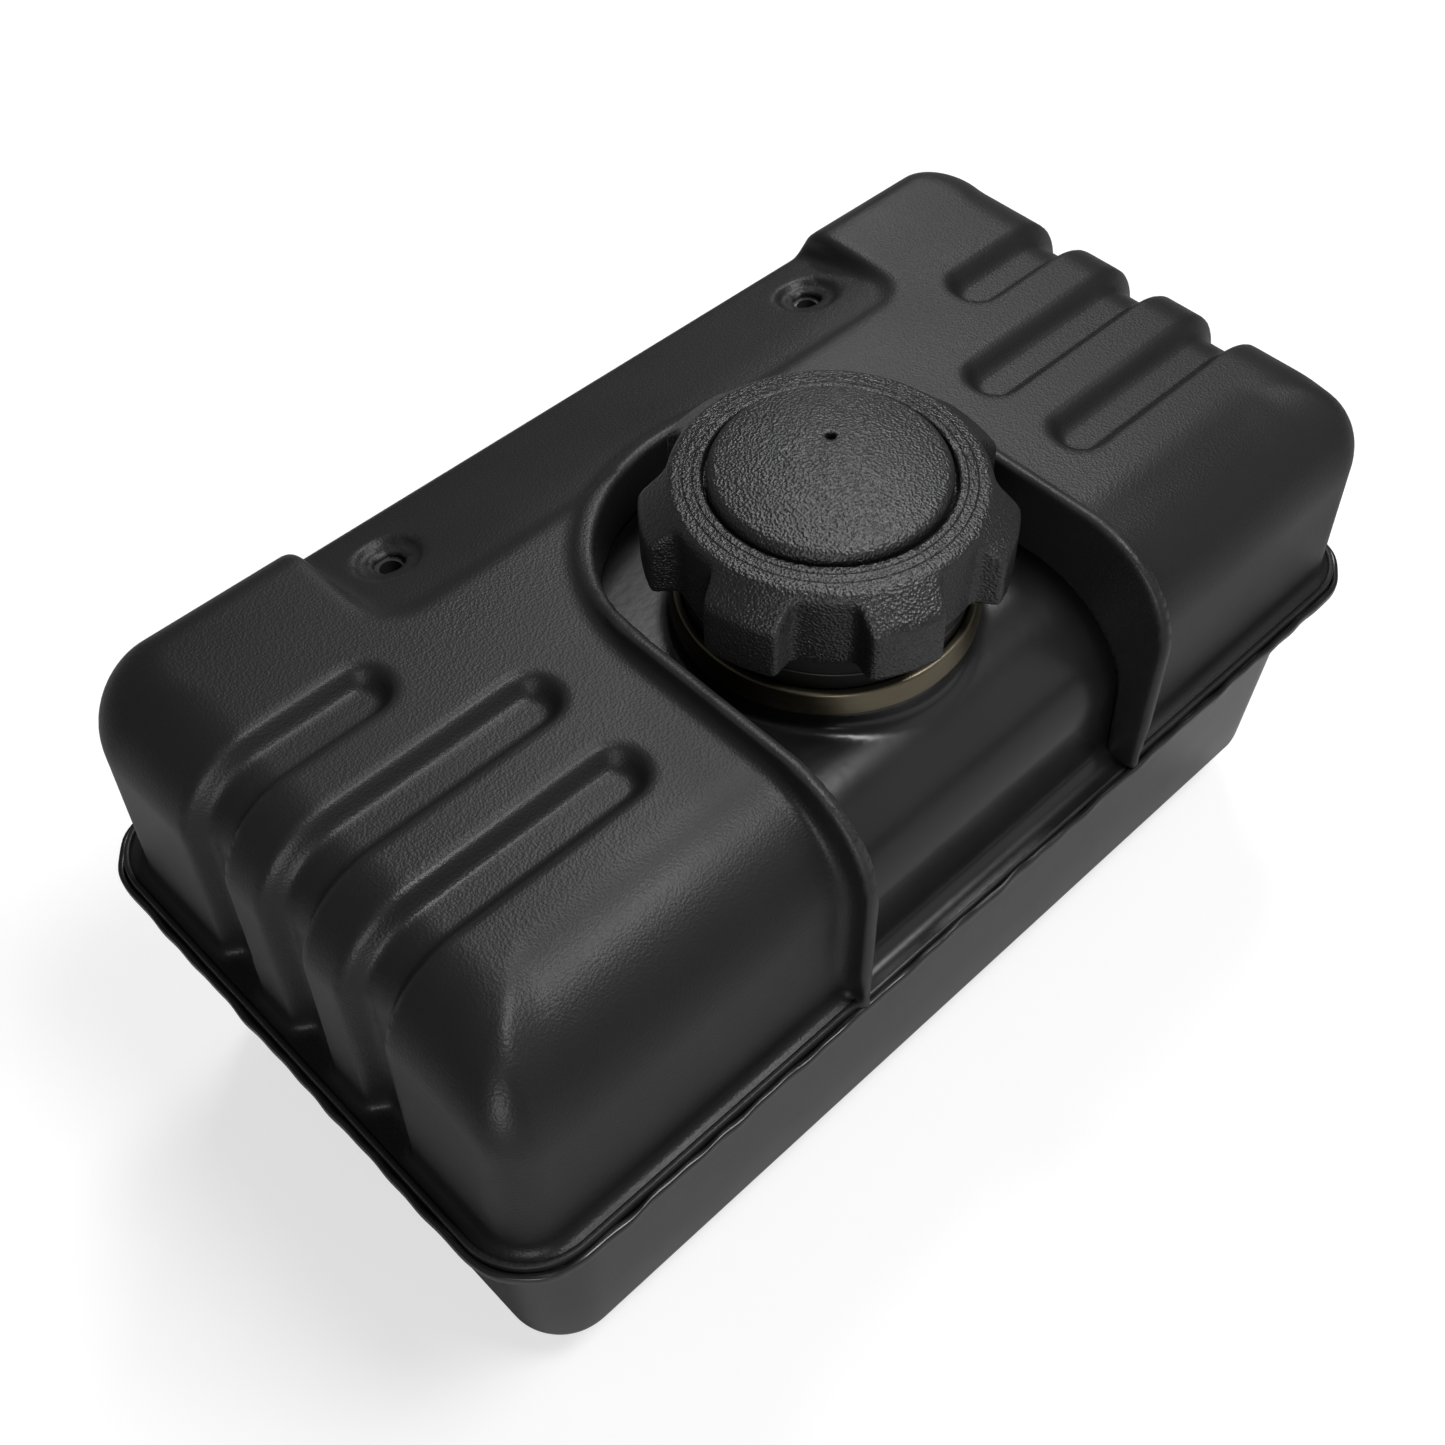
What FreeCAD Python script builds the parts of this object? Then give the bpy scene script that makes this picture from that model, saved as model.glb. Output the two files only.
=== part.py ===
import FreeCAD, Part
import math
import os
import re

import Sketcher
from FreeCAD import Placement, Rotation, Vector

# Small engine fuel tank: two pressed steel shells joined at a flange, a moulded
# cover with an open bay at the front, and a screw cap on a round filler neck.
# Millimetres, +Z up, long side along X, open bay towards -Y. The origin is in
# the middle of the four mounting holes, on the face that sits on the engine.

doc = FreeCAD.newDocument("FuelTank")
dims = doc.addObject("Spreadsheet::Sheet", "Dims")

sizes = {
    # heights of the main planes
    "bracketHeight": 9.0,
    "lowerDepth": 67.0,
    "upperHeight": 43.5,
    "coverHeight": 59.4,
    # steel shells
    "sheetThick": 1.0,
    "seamHalfX": 137.9,
    "seamHalfY": 74.4,
    "seamCorner": 18.1,
    "hemThick": 1.2,
    "hemRise": 2.0,
    "seamGap": 0.2,
    "lowerInsetX": 7.5,
    "lowerInsetY": 6.6,
    "lowerHalfX": "=seamHalfX - lowerInsetX",
    "lowerHalfY": "=seamHalfY - lowerInsetY",
    "lowerCorner": 17.5,
    "lowerTaper": 3.4,
    "lowerRound": 9.0,
    "upperInsetX": 14.9,
    "upperInsetY": 9.1,
    "upperHalfX": "=seamHalfX - upperInsetX",
    "upperHalfY": "=seamHalfY - upperInsetY",
    "upperCorner": 30.0,
    "upperTaper": 3.0,
    "upperRound": 25.0,
    "upperFoot": 5.0,
    # moulded cover
    "coverThick": 2.2,
    "flangeInset": 1.9,
    "flangeHalfX": "=seamHalfX - flangeInset",
    "flangeHalfY": "=seamHalfY - flangeInset",
    "coverInsetX": 4.4,
    "coverInsetY": 4.0,
    "coverHalfX": "=flangeHalfX - coverInsetX",
    "coverHalfY": "=flangeHalfY - coverInsetY",
    "coverCornerFront": 10.0,
    "coverCornerBack": 14.5,
    "coverTaper": 1.2,
    "roundFront": 25.6,
    "roundEnd": 19.1,
    "roundBack": 9.0,
    "flangeCorner": 16.5,
    "flangeThick": 2.0,
    "flangeFoot": 3.5,
    "lipRise": 0.8,
    "lipWidth": 1.2,
    # grooves pressed into the cover ends
    "grooveDepth": 4.3,
    "grooveTop": 6.6,
    "grooveFloor": 3.8,
    "groovePitch": 24.8,
    "grooveMiddle": -3.0,
    "grooveTipBack": 90.5,
    "grooveTipFront": 68.5,
    # stepped recess at the back of the cover, with the two screw holes
    "recessHalfX": 76.5,
    "recessDrop": 8.6,
    "recessRun": 37.0,
    "recessFront": "=coverHalfY - recessRun",
    "recessCorner": 9.0,
    "screwX": 62.5,
    "screwInset": 18.0,
    "screwY": "=coverHalfY - screwInset",
    "screwRadius": 3.5,
    "dimpleRadius": 7.0,
    "dimpleDepth": 1.4,
    # open bay round the filler and the raised rim that borders it
    "bayHalf": 43.5,
    "bayCentreY": -10.0,
    "rimWidth": 3.0,
    "rimRise": 4.6,
    "rimFrontY": 74.0,
    "rimRound": 25.0,
    "bayClear": 1.6,
    "coverGap": 0.3,
    # filler neck, collar and strainer
    "neckY": -16.4,
    "bossRadius": 32.0,
    "bossRise": 5.5,
    "bossFoot": 2.0,
    "neckRadius": 30.2,
    "neckBore": 28.6,
    "neckSpigot": 29.4,
    "neckTail": 8.0,
    "neckFit": 0.2,
    "collarRadius": 33.0,
    "collarTopRadius": 32.2,
    "collarHeight": 5.5,
    "strainerRadius": 26.0,
    "strainerThick": 1.4,
    "strainerDepth": 52.0,
    "strainerLip": 1.2,
    "strainerBase": 2.0,
    "windowWidth": 14.0,
    "windowHeight": 34.0,
    "windowCount": 6,
    "meshThick": 0.5,
    # cap
    "capBase": 15.5,
    "capHeight": 19.0,
    "capShoulder": 6.0,
    "capTopRadius": 31.8,
    "capLobeRadius": 38.2,
    "capValleyRadius": 32.8,
    "capLobes": 7,
    "capLobePhase": 145.5,
    "valleyHalfAngle": 10.5,
    "valleyFlare": 4.6,
    "capRoof": 3.0,
    "capFit": 0.35,
    "gasketThick": 2.5,
    "gasketInner": 27.0,
    "domeRadius": 24.5,
    "domeSeat": 1.5,
    "domeGap": 0.9,
    "domeSide": 1.8,
    "domeCrown": 3.8,
    "ventRadius": 1.5,
    "ventX": 3.9,
    "ventY": 3.9,
    "ventPlateRadius": 21.0,
    "ventPlateThick": 1.2,
    "foamRadius": 17.0,
    "foamThick": 3.0,
    # fuel outlet low on the back wall
    "outletX": 88.0,
    "outletHeight": 32.0,
    "bushRadius": 9.0,
    "bushProud": 4.0,
    "bushInside": 5.0,
    "outletThread": 5.0,
    "hexHalf": 7.0,
    "hexLength": 6.0,
    "washerThick": 1.5,
    "washerRadius": 8.0,
    "spigotRadius": 3.6,
    "spigotBarb": 4.3,
    "spigotLength": 17.0,
    "spigotBore": 2.2,
    "screenRadius": 4.2,
    "screenLength": 26.0,
    # mounting brackets under the tank
    "bracketInset": 55.9,
    "bracketX": "=seamHalfX - bracketInset",
    "bracketHalfX": 13.0,
    "bracketHalfY": 48.0,
    "bracketFoot": 8.0,
    "bracketThick": 2.0,
    "mountY": 34.0,
    "mountHole": 4.25,
    "nutHalf": 6.5,
    "nutHeight": 6.0,
    "nutBore": 3.4,
    # posts and pads that carry the cover
    "postRadius": 7.0,
    "postHole": 2.5,
    "padX": 51.5,
    "padHalfX": 3.5,
    "padHalfY": 26.0,
    "padY": -4.0,
}

for row, (alias, size) in enumerate(sizes.items(), start=1):
    dims.set("A%d" % row, alias)
    dims.set("B%d" % row, str(size))
    dims.setAlias("B%d" % row, alias)
doc.recompute()


def value(text):
    # value of an expression in the names of the sheet
    return float(dims.evalExpression(text))


def bound(text):
    # the same expression as another object of the document sees it
    return re.sub(r"[A-Za-z]\w*", lambda word: "Dims." + word[0] if word[0] in sizes else word[0], text)


# levels, as expressions
seam = "(bracketHeight + lowerDepth)"
coverSeat = "(bracketHeight + lowerDepth + sheetThick)"
flangeTop = "(bracketHeight + lowerDepth + sheetThick + flangeThick)"
steelTop = "(bracketHeight + lowerDepth + upperHeight)"
coverTop = "(bracketHeight + lowerDepth + sheetThick + coverHeight)"
bossTop = "(bracketHeight + lowerDepth + upperHeight + bossRise)"
capBottom = "(bracketHeight + lowerDepth + upperHeight + bossRise + capBase)"
capTop = "(bracketHeight + lowerDepth + upperHeight + bossRise + capBase + capHeight)"
capUnder = "(bracketHeight + lowerDepth + upperHeight + bossRise + capBase + capHeight - capRoof)"
neckTop = capUnder[:-1] + " - gasketThick - strainerLip)"


def new_body(label, x="0", y="0", z="0"):
    body = doc.addObject("PartDesign::Body", label)
    body.Label = label
    for axis, text in zip("xyz", (x, y, z)):
        if text != "0":
            body.setExpression("Placement.Base." + axis, bound(text))
    return body


def new_sketch(body, role="XY_Plane", level="0"):
    sketch = body.newObject("Sketcher::SketchObject", body.Name + "Sketch")
    plane = [item for item in body.Origin.OriginFeatures if item.Role == role][0]
    sketch.AttachmentSupport = [(plane, "")]
    sketch.MapMode = "FlatFace"
    if level != "0":
        sketch.setExpression("AttachmentOffset.Base.z", bound(level))
    doc.recompute()
    return sketch


def hold(sketch, kind, first, second, text):
    # one dimension of a sketch, bound to the sheet
    index = sketch.addConstraint(Sketcher.Constraint(kind, *first, *second, value(text)))
    sketch.setExpression("Constraints[%d]" % index, bound(text))


def pin(sketch, geometry, point, x, y):
    for kind, axis, text in (("DistanceX", -2, x), ("DistanceY", -1, y)):
        if abs(value(text)) < 1e-9:
            sketch.addConstraint(Sketcher.Constraint("PointOnObject", geometry, point, axis))
        else:
            hold(sketch, kind, (-1, 1), (geometry, point), text)


def polygon(sketch, points):
    corners = [Vector(value(x), value(y), 0) for x, y in points]
    count = len(corners)
    start = sketch.GeometryCount
    for index in range(count):
        sketch.addGeometry(Part.LineSegment(corners[index], corners[(index + 1) % count]), False)
    for index in range(count):
        following = start + (index + 1) % count
        sketch.addConstraint(Sketcher.Constraint("Coincident", start + index, 2, following, 1))
    for index, (x, y) in enumerate(points):
        pin(sketch, start + index, 1, x, y)
    return sketch


def circle(sketch, radius, x="0", y="0"):
    centre = Vector(value(x), value(y), 0)
    index = sketch.addGeometry(Part.Circle(centre, Vector(0, 0, 1), value(radius)), False)
    pin(sketch, index, 3, x, y)
    number = sketch.addConstraint(Sketcher.Constraint("Radius", index, value(radius)))
    sketch.setExpression("Constraints[%d]" % number, bound(radius))
    return sketch


def rounded_rectangle(sketch, half_x, half_y, front, back):
    # corner centres run anticlockwise from the back right corner
    hx, hy = value(half_x), value(half_y)
    places = [(1, 1, back), (-1, 1, back), (-1, -1, front), (1, -1, front)]
    start = sketch.GeometryCount
    ends = []
    for number, (side_x, side_y, radius) in enumerate(places):
        r = value(radius)
        centre = Vector(side_x * (hx - r), side_y * (hy - r), 0)
        first = number * math.pi / 2
        arc = Part.ArcOfCircle(Part.Circle(centre, Vector(0, 0, 1), r), first, first + math.pi / 2)
        sketch.addGeometry(arc, False)
        ends.append((arc.StartPoint, arc.EndPoint))
    for number in range(4):
        line = Part.LineSegment(ends[number][1], ends[(number + 1) % 4][0])
        sketch.addGeometry(line, False)
    for number in range(4):
        arc, line, following = start + number, start + 4 + number, start + (number + 1) % 4
        sketch.addConstraint(Sketcher.Constraint("Tangent", arc, 2, line, 1))
        sketch.addConstraint(Sketcher.Constraint("Tangent", line, 2, following, 1))
        index = sketch.addConstraint(Sketcher.Constraint("Radius", arc, value(places[number][2])))
        sketch.setExpression("Constraints[%d]" % index, bound(places[number][2]))
    hold(sketch, "DistanceY", (-1, 1), (start + 4, 1), half_y)
    hold(sketch, "DistanceX", (start + 5, 1), (-1, 1), half_x)
    hold(sketch, "DistanceY", (start + 6, 1), (-1, 1), half_y)
    hold(sketch, "DistanceX", (-1, 1), (start + 7, 1), half_x)
    sketch.addConstraint(Sketcher.Constraint("Horizontal", start + 4))
    sketch.addConstraint(Sketcher.Constraint("Vertical", start + 5))
    sketch.addConstraint(Sketcher.Constraint("Horizontal", start + 6))
    sketch.addConstraint(Sketcher.Constraint("Vertical", start + 7))
    return sketch


def feature(body, kind, sketch, length=None, taper=None, down=False, both=False):
    item = body.newObject("PartDesign::" + kind, body.Name + kind)
    item.Profile = sketch
    if length:
        item.setExpression("Length", bound(length))
    if taper:
        item.setExpression("TaperAngle", bound(taper))
    item.Reversed = down
    item.Midplane = both
    before = body.Shape.Volume if body.Shape.Solids else 0.0
    doc.recompute()
    if item.Shape.isNull():
        raise RuntimeError("%s has no shape: %s" % (item.Name, item.State))
    change = item.Shape.Volume - before
    if (kind == "Pad") == (change <= 0):
        raise RuntimeError(item.Name + " does not change its body as it should")
    return item


def turned(body, points, kind="Revolution"):
    # a profile of radius and height turned about the body's own Z axis
    sketch = polygon(new_sketch(body, "XZ_Plane"), points)
    item = body.newObject("PartDesign::" + kind, body.Name + kind)
    item.Profile = sketch
    item.ReferenceAxis = (sketch, ["V_Axis"])
    item.Angle = 360.0
    doc.recompute()
    return item


def edges_at(shape, level, wanted=lambda edge: True):
    names = []
    for number, edge in enumerate(shape.Edges, start=1):
        box = edge.BoundBox
        if abs(box.ZMin - level) < 1e-4 and abs(box.ZMax - level) < 1e-4 and wanted(edge):
            names.append("Edge%d" % number)
    return names


def within(half_x, half_y):
    # true for an edge inside a rectangle about the origin, with a little to spare
    x, y = value(half_x) + 0.5, value(half_y) + 0.5


    def inside(edge):
        box = edge.BoundBox
        return max(-box.XMin, box.XMax) < x and max(-box.YMin, box.YMax) < y

    return inside


def round_edges(body, names, radius, kind="Fillet"):
    base = body.Tip
    item = body.newObject("PartDesign::" + kind, body.Name + kind)
    item.Base = (base, names)
    item.setExpression("Radius" if kind == "Fillet" else "Size", bound(radius))
    doc.recompute()
    return item


def join(kind, label, shapes):
    item = doc.addObject("Part::" + kind, label)
    item.Label = label
    if kind == "Cut":
        item.Base, item.Tool = shapes
    else:
        item.Shapes = shapes
    doc.recompute()
    return item


def cylinder(label, radius, height, x, y, z):
    item = doc.addObject("Part::Cylinder", label)
    item.setExpression("Radius", bound(radius))
    item.setExpression("Height", bound(height))
    for axis, text in zip("xyz", (x, y, z)):
        item.setExpression("Placement.Base." + axis, bound(text))
    doc.recompute()
    return item


def by_code(label, shape):
    item = doc.addObject("Part::Feature", label)
    item.Label = label
    item.Shape = shape
    item.Placement = Placement()
    return item


def pan(label, half_x, half_y, corner, depth, taper, rounding, level, down=False):
    # drafted block with one rounded end, the form that a pressing is drawn over
    body = new_body(label)
    sketch = rounded_rectangle(new_sketch(body, level=level), half_x, half_y, corner, corner)
    feature(body, "Pad", sketch, depth, taper, down=down)
    end = value(level) + (-1 if down else 1) * value(depth)
    round_edges(body, edges_at(body.Shape, end), rounding)
    return body


# lower shell: drawn pan with a hemmed flange
lower = pan(
    "lowerOuter", "lowerHalfX", "lowerHalfY", "lowerCorner",
    "lowerDepth", "-lowerTaper", "lowerRound", seam, down=True,
)
sketch = rounded_rectangle(
    new_sketch(lower, level=seam), "seamHalfX", "seamHalfY", "seamCorner", "seamCorner",
)
feature(lower, "Pad", sketch, "sheetThick", down=True)
sketch = rounded_rectangle(
    new_sketch(lower, level=seam), "seamHalfX", "seamHalfY", "seamCorner", "seamCorner",
)
rounded_rectangle(
    sketch,
    "seamHalfX - hemThick",
    "seamHalfY - hemThick",
    "seamCorner - hemThick",
    "seamCorner - hemThick",
)
feature(lower, "Pad", sketch, "hemRise")
lowerInner = pan(
    "lowerInner", "lowerHalfX - sheetThick", "lowerHalfY - sheetThick", "lowerCorner - sheetThick",
    "lowerDepth - sheetThick", "-lowerTaper", "lowerRound - sheetThick", seam, down=True,
)
lower_pan = join("Cut", "lowerPan", [lower, lowerInner])

# upper shell: drawn dome with the filler boss
upper = pan(
    "upperOuter", "upperHalfX", "upperHalfY", "upperCorner",
    "upperHeight", "-upperTaper", "upperRound", seam,
)
sketch = rounded_rectangle(
    new_sketch(upper, level=seam),
    "seamHalfX - hemThick - seamGap",
    "seamHalfY - hemThick - seamGap",
    "seamCorner - hemThick - seamGap",
    "seamCorner - hemThick - seamGap",
)
feature(upper, "Pad", sketch, "sheetThick")
round_edges(upper, edges_at(upper.Shape, value(coverSeat), within("upperHalfX", "upperHalfY")), "upperFoot")
sketch = circle(new_sketch(upper, level=steelTop + " - upperFoot"), "bossRadius", y="neckY")
feature(upper, "Pad", sketch, "upperFoot + bossRise")
bossEdges = edges_at(upper.Shape, value(steelTop), within("bossRadius", "bossRadius - neckY"))
round_edges(upper, bossEdges, "bossFoot")
upperInner = pan(
    "upperInner", "upperHalfX - sheetThick", "upperHalfY - sheetThick", "upperCorner - sheetThick",
    "upperHeight - sheetThick", "-upperTaper", "upperRound - sheetThick", seam,
)
sketch = circle(
    new_sketch(upperInner, level=steelTop + " - 3 * sheetThick"), "bossRadius - sheetThick", y="neckY",
)
feature(upperInner, "Pad", sketch, "bossRise + 2 * sheetThick")
sketch = circle(new_sketch(upperInner, level=steelTop), "neckSpigot + neckFit", y="neckY")
feature(upperInner, "Pad", sketch, "bossRise + sheetThick")
upper_shell = join("Cut", "upper_shell", [upper, upperInner])


def dome(label, half_x, half_y, corners, taper, height, level, rounds):
    # drafted block with rounded uprights and three radii on top: front, ends and back
    body = new_body(label + "Block")
    sketch = polygon(new_sketch(body, level=level), [
        ("-(%s)" % half_x, "-(%s)" % half_y),
        (half_x, "-(%s)" % half_y),
        (half_x, half_y),
        ("-(%s)" % half_x, half_y),
    ])
    feature(body, "Pad", sketch, height, taper)
    top = value(level) + value(height)
    corner_front, corner_back = (value(text) for text in corners)
    front, end, back = (value(text) for text in rounds)
    edges = []
    for number, edge in enumerate(body.Shape.Edges, start=1):
        box = edge.BoundBox
        middle = edge.CenterOfMass
        if box.ZLength > value(height) / 2:
            radius = corner_front if middle.y < 0 else corner_back
        elif middle.z < top - value(height) / 2:
            continue
        elif box.YLength > box.XLength:
            radius = end
        else:
            radius = front if middle.y < 0 else back
        edges.append((number, radius, radius))
    item = doc.addObject("Part::Fillet", label)
    item.Label = label
    item.Base = body
    item.Edges = edges
    doc.recompute()
    return item


# moulded cover
outer = dome(
    "coverOuter", "coverHalfX", "coverHalfY", ("coverCornerFront", "coverCornerBack"),
    "-coverTaper", "coverHeight", coverSeat, ("roundFront", "roundEnd", "roundBack"),
)
inner = dome(
    "coverInner", "coverHalfX - coverThick", "coverHalfY - coverThick",
    ("coverCornerFront - coverThick", "coverCornerBack - coverThick"),
    "-coverTaper", "coverHeight - coverThick", coverSeat,
    ("roundFront - coverThick", "roundEnd - coverThick", "roundBack - coverThick"),
)


def groove(tip, y, allowance):
    # one pressed groove from its rounded inner tip, over the end and down the wall
    top = value(coverTop)
    depth = value("grooveDepth") + allowance
    lip = value("grooveTop") + allowance
    floor = value("grooveFloor") + allowance
    lean = math.radians(value("coverTaper"))
    turn = value("roundEnd")
    centre_z = top - turn
    rise = centre_z - value(coverSeat)
    centre_x = value("coverHalfX") - (turn + rise * math.sin(lean)) / math.cos(lean)
    wall = Vector(centre_x + turn * math.cos(lean), y, centre_z + turn * math.sin(lean))
    middle = math.radians(45) + lean / 2
    crest = Vector(centre_x + turn * math.cos(middle), y, centre_z + turn * math.sin(middle))
    bottom_z = value(flangeTop + " - flangeThick / 2")
    bottom = Vector(wall.x + (wall.z - bottom_z) * math.tan(lean), y, bottom_z)
    start = Vector(tip, y, top)
    bend = Vector(centre_x, y, top)
    path = Part.Wire([
        Part.LineSegment(start, bend).toShape(),
        Part.Arc(bend, crest, wall).toShape(),
        Part.LineSegment(wall, bottom).toShape(),
    ])
    spare = value("grooveDepth")
    flare = spare * (lip - floor) / depth
    half = [(0, -depth), (floor, -depth), (lip + flare, spare), (0, spare)]
    section = [Vector(tip, y + across, top + up) for across, up in half]
    section += [Vector(tip, y - across, top + up) for across, up in reversed(half[1:3])]
    profile = Part.makePolygon(section + section[:1])
    run = path.makePipeShell([profile], True, True)
    end = Part.Face(Part.makePolygon([Vector(tip, y + across, top + up) for across, up in half + half[:1]]))
    cone = end.revolve(start, Vector(0, 0, 1), 360)
    return run.fuse(cone)


def grooves(allowance):
    # three grooves at each end, the back pair shorter than the others
    middle = value("grooveMiddle")
    pitch = value("groovePitch")
    tips = [(value("grooveTipBack"), middle + pitch)]
    tips += [(value("grooveTipFront"), middle), (value("grooveTipFront"), middle - pitch)]
    right = [groove(tip, y, allowance) for tip, y in tips]
    left = [shape.mirror(Vector(0, 0, 0), Vector(1, 0, 0)) for shape in right]
    return right[0].fuse(right[1:] + left)


def recess(label, allowance):
    # step down to the sloping pad that carries the two screws, open to the back
    wedge = new_body(label + "Wedge")
    polygon(new_sketch(wedge, "YZ_Plane"), [
        ("recessFront - %s" % allowance, coverTop + " - %s" % allowance),
        ("recessFront + recessRun", coverTop + " - recessDrop - %s" % allowance),
        ("recessFront + 2 * recessRun", coverTop + " - recessDrop - %s" % allowance),
        ("recessFront + 2 * recessRun", coverTop + " + recessDrop"),
        ("recessFront - %s" % allowance, coverTop + " + recessDrop"),
    ])
    feature(wedge, "Pad", wedge.Group[-1], "2 * coverHalfX", both=True)
    plan = new_body(label + "Plan", y="recessFront + 2 * recessRun")
    sketch = rounded_rectangle(
        new_sketch(plan, level=coverTop + " - 2 * recessDrop"),
        "recessHalfX + %s" % allowance, "2 * recessRun + %s" % allowance,
        "recessCorner + %s" % allowance, "recessCorner",
    )
    feature(plan, "Pad", sketch, "4 * recessDrop")
    return join("MultiCommon", label, [wedge, plan])


outerGrooves = by_code("outerGrooves", grooves(0))
innerGrooves = by_code("innerGrooves", grooves(value("coverThick")))
outerRecess = recess("outerRecess", "0")
innerRecess = recess("innerRecess", "coverThick")

# two screw holes in round dimples on the sloping pad
padLevel = coverTop + " - recessDrop * (screwY - recessFront) / recessRun"
outerDimples = []
innerDimples = []
for side, x in (("Left", "-screwX"), ("Right", "screwX")):
    below = padLevel + " - recessDrop"
    face = padLevel + " - dimpleDepth"
    outerDimples.append(cylinder("screwHole" + side, "screwRadius", "2 * recessDrop", x, "screwY", below))
    outerDimples.append(cylinder("screwDimple" + side, "dimpleRadius", "recessDrop", x, "screwY", face))
    innerDimples.append(cylinder(
        "innerDimple" + side, "dimpleRadius + coverThick", "2 * recessDrop",
        x, "screwY", face + " - coverThick",
    ))
outerTools = join("MultiFuse", "outerTools", [outerGrooves, outerRecess] + outerDimples)
innerTools = join("MultiFuse", "innerTools", [innerGrooves, innerRecess] + innerDimples)
coverForm = join("Cut", "coverForm", [outer, outerTools])
coverHollow = join("Cut", "coverHollow", [inner, innerTools])
coverSkin = join("Cut", "coverSkin", [coverForm, coverHollow])


def bay(label, half, base, rise):
    # upright prism with a round back end, open to the front
    body = new_body(label, y="bayCentreY", z=base)
    sketch = new_sketch(body)
    r = value(half)
    far = value("bayCentreY + 2 * seamHalfY")
    arc = Part.ArcOfCircle(Part.Circle(Vector(0, 0, 0), Vector(0, 0, 1), r), 0, math.pi)
    sketch.addGeometry(arc, False)
    corners = [Vector(-r, 0, 0), Vector(-r, -far, 0), Vector(r, -far, 0), Vector(r, 0, 0)]
    for number in range(3):
        sketch.addGeometry(Part.LineSegment(corners[number], corners[number + 1]), False)
        sketch.addConstraint(Sketcher.Constraint("Coincident", number, 2, number + 1, 1))
    sketch.addConstraint(Sketcher.Constraint("Coincident", 3, 2, 0, 1))
    sketch.addConstraint(Sketcher.Constraint("Coincident", 0, 3, -1, 1))
    index = sketch.addConstraint(Sketcher.Constraint("Radius", 0, r))
    sketch.setExpression("Constraints[%d]" % index, bound(half))
    sketch.addConstraint(Sketcher.Constraint("PointOnObject", 0, 1, -1))
    sketch.addConstraint(Sketcher.Constraint("PointOnObject", 0, 2, -1))
    sketch.addConstraint(Sketcher.Constraint("Vertical", 1))
    sketch.addConstraint(Sketcher.Constraint("Horizontal", 2))
    sketch.addConstraint(Sketcher.Constraint("Vertical", 3))
    hold(sketch, "DistanceY", (1, 2), (-1, 1), "bayCentreY + 2 * seamHalfY")
    feature(body, "Pad", sketch, rise)
    return body


# rim: a wall of even width round the bay, under a crest that rises to the front
wallOuter = bay("wallOuter", "bayHalf + rimWidth", seam, "2 * coverHeight")
wallInner = bay("wallInner", "bayHalf", seam, "2 * coverHeight")
wall = join("Cut", "rimWall", [wallOuter, wallInner])
crest = new_body("rimCrest")
sketch = polygon(new_sketch(crest, "YZ_Plane"), [
    ("bayHalf", coverTop + " - coverThick"),
    ("bayHalf", coverTop),
    ("bayHalf / 2", coverTop),
    ("-bayHalf / 4", coverTop + " + rimRise"),
    ("-rimFrontY", coverTop + " + rimRise"),
    ("-rimFrontY", seam + " + hemRise + seamGap"),
    ("-flangeHalfY", seam + " + hemRise + seamGap"),
    ("-flangeHalfY", coverSeat),
    ("0", coverSeat),
])
feature(crest, "Pad", sketch, "2 * (bayHalf + 2 * rimWidth)", both=True)
corner = [
    "Edge%d" % number
    for number, edge in enumerate(crest.Shape.Edges, start=1)
    if edge.BoundBox.YMax < value("-rimFrontY") + 1e-4 and edge.BoundBox.ZMin > value(coverTop)
    and edge.BoundBox.XLength > 1
]
round_edges(crest, corner, "rimRound")
kinks = [
    "Edge%d" % number
    for number, edge in enumerate(crest.Shape.Edges, start=1)
    if edge.BoundBox.XLength > 1 and edge.BoundBox.YLength < 1e-4
    and min(abs(edge.BoundBox.YMin - value("bayHalf / 2")), abs(edge.BoundBox.YMin + value("bayHalf / 4"))) < 1e-3
]
round_edges(crest, kinks, "2 * bayHalf")
steelClear = pan(
    "steelClear", "upperHalfX + bayClear", "upperHalfY + bayClear", "upperCorner + bayClear",
    "upperHeight + bayClear", "-upperTaper", "upperRound + bayClear", seam,
)
rimForm = join("MultiCommon", "rimForm", [wall, crest])
rim = join("Cut", "rim", [rimForm, steelClear])

# flange of the cover, with its raised lip and the soft foot of the walls
flange = new_body("coverFlange")
sketch = rounded_rectangle(
    new_sketch(flange, level=coverSeat), "flangeHalfX", "flangeHalfY", "flangeCorner", "flangeCorner",
)
feature(flange, "Pad", sketch, "flangeThick")
sketch = rounded_rectangle(
    new_sketch(flange, level=flangeTop), "flangeHalfX", "flangeHalfY", "flangeCorner", "flangeCorner",
)
rounded_rectangle(
    sketch, "flangeHalfX - lipWidth", "flangeHalfY - lipWidth",
    "flangeCorner - lipWidth", "flangeCorner - lipWidth",
)
feature(flange, "Pad", sketch, "lipRise")
sketch = rounded_rectangle(
    new_sketch(flange, level=coverSeat),
    "coverHalfX - grooveDepth - coverThick", "coverHalfY - coverThick",
    "coverCornerFront - coverThick", "coverCornerBack - coverThick",
)
feature(flange, "Pocket", sketch, "flangeThick + lipRise", down=True)
coverWhole = join("MultiFuse", "coverWhole", [coverSkin, flange])
coverOpen = join("Cut", "coverOpen", [coverWhole, wallInner])
coverRimmed = join("MultiFuse", "coverRimmed", [coverOpen, rim])


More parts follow.
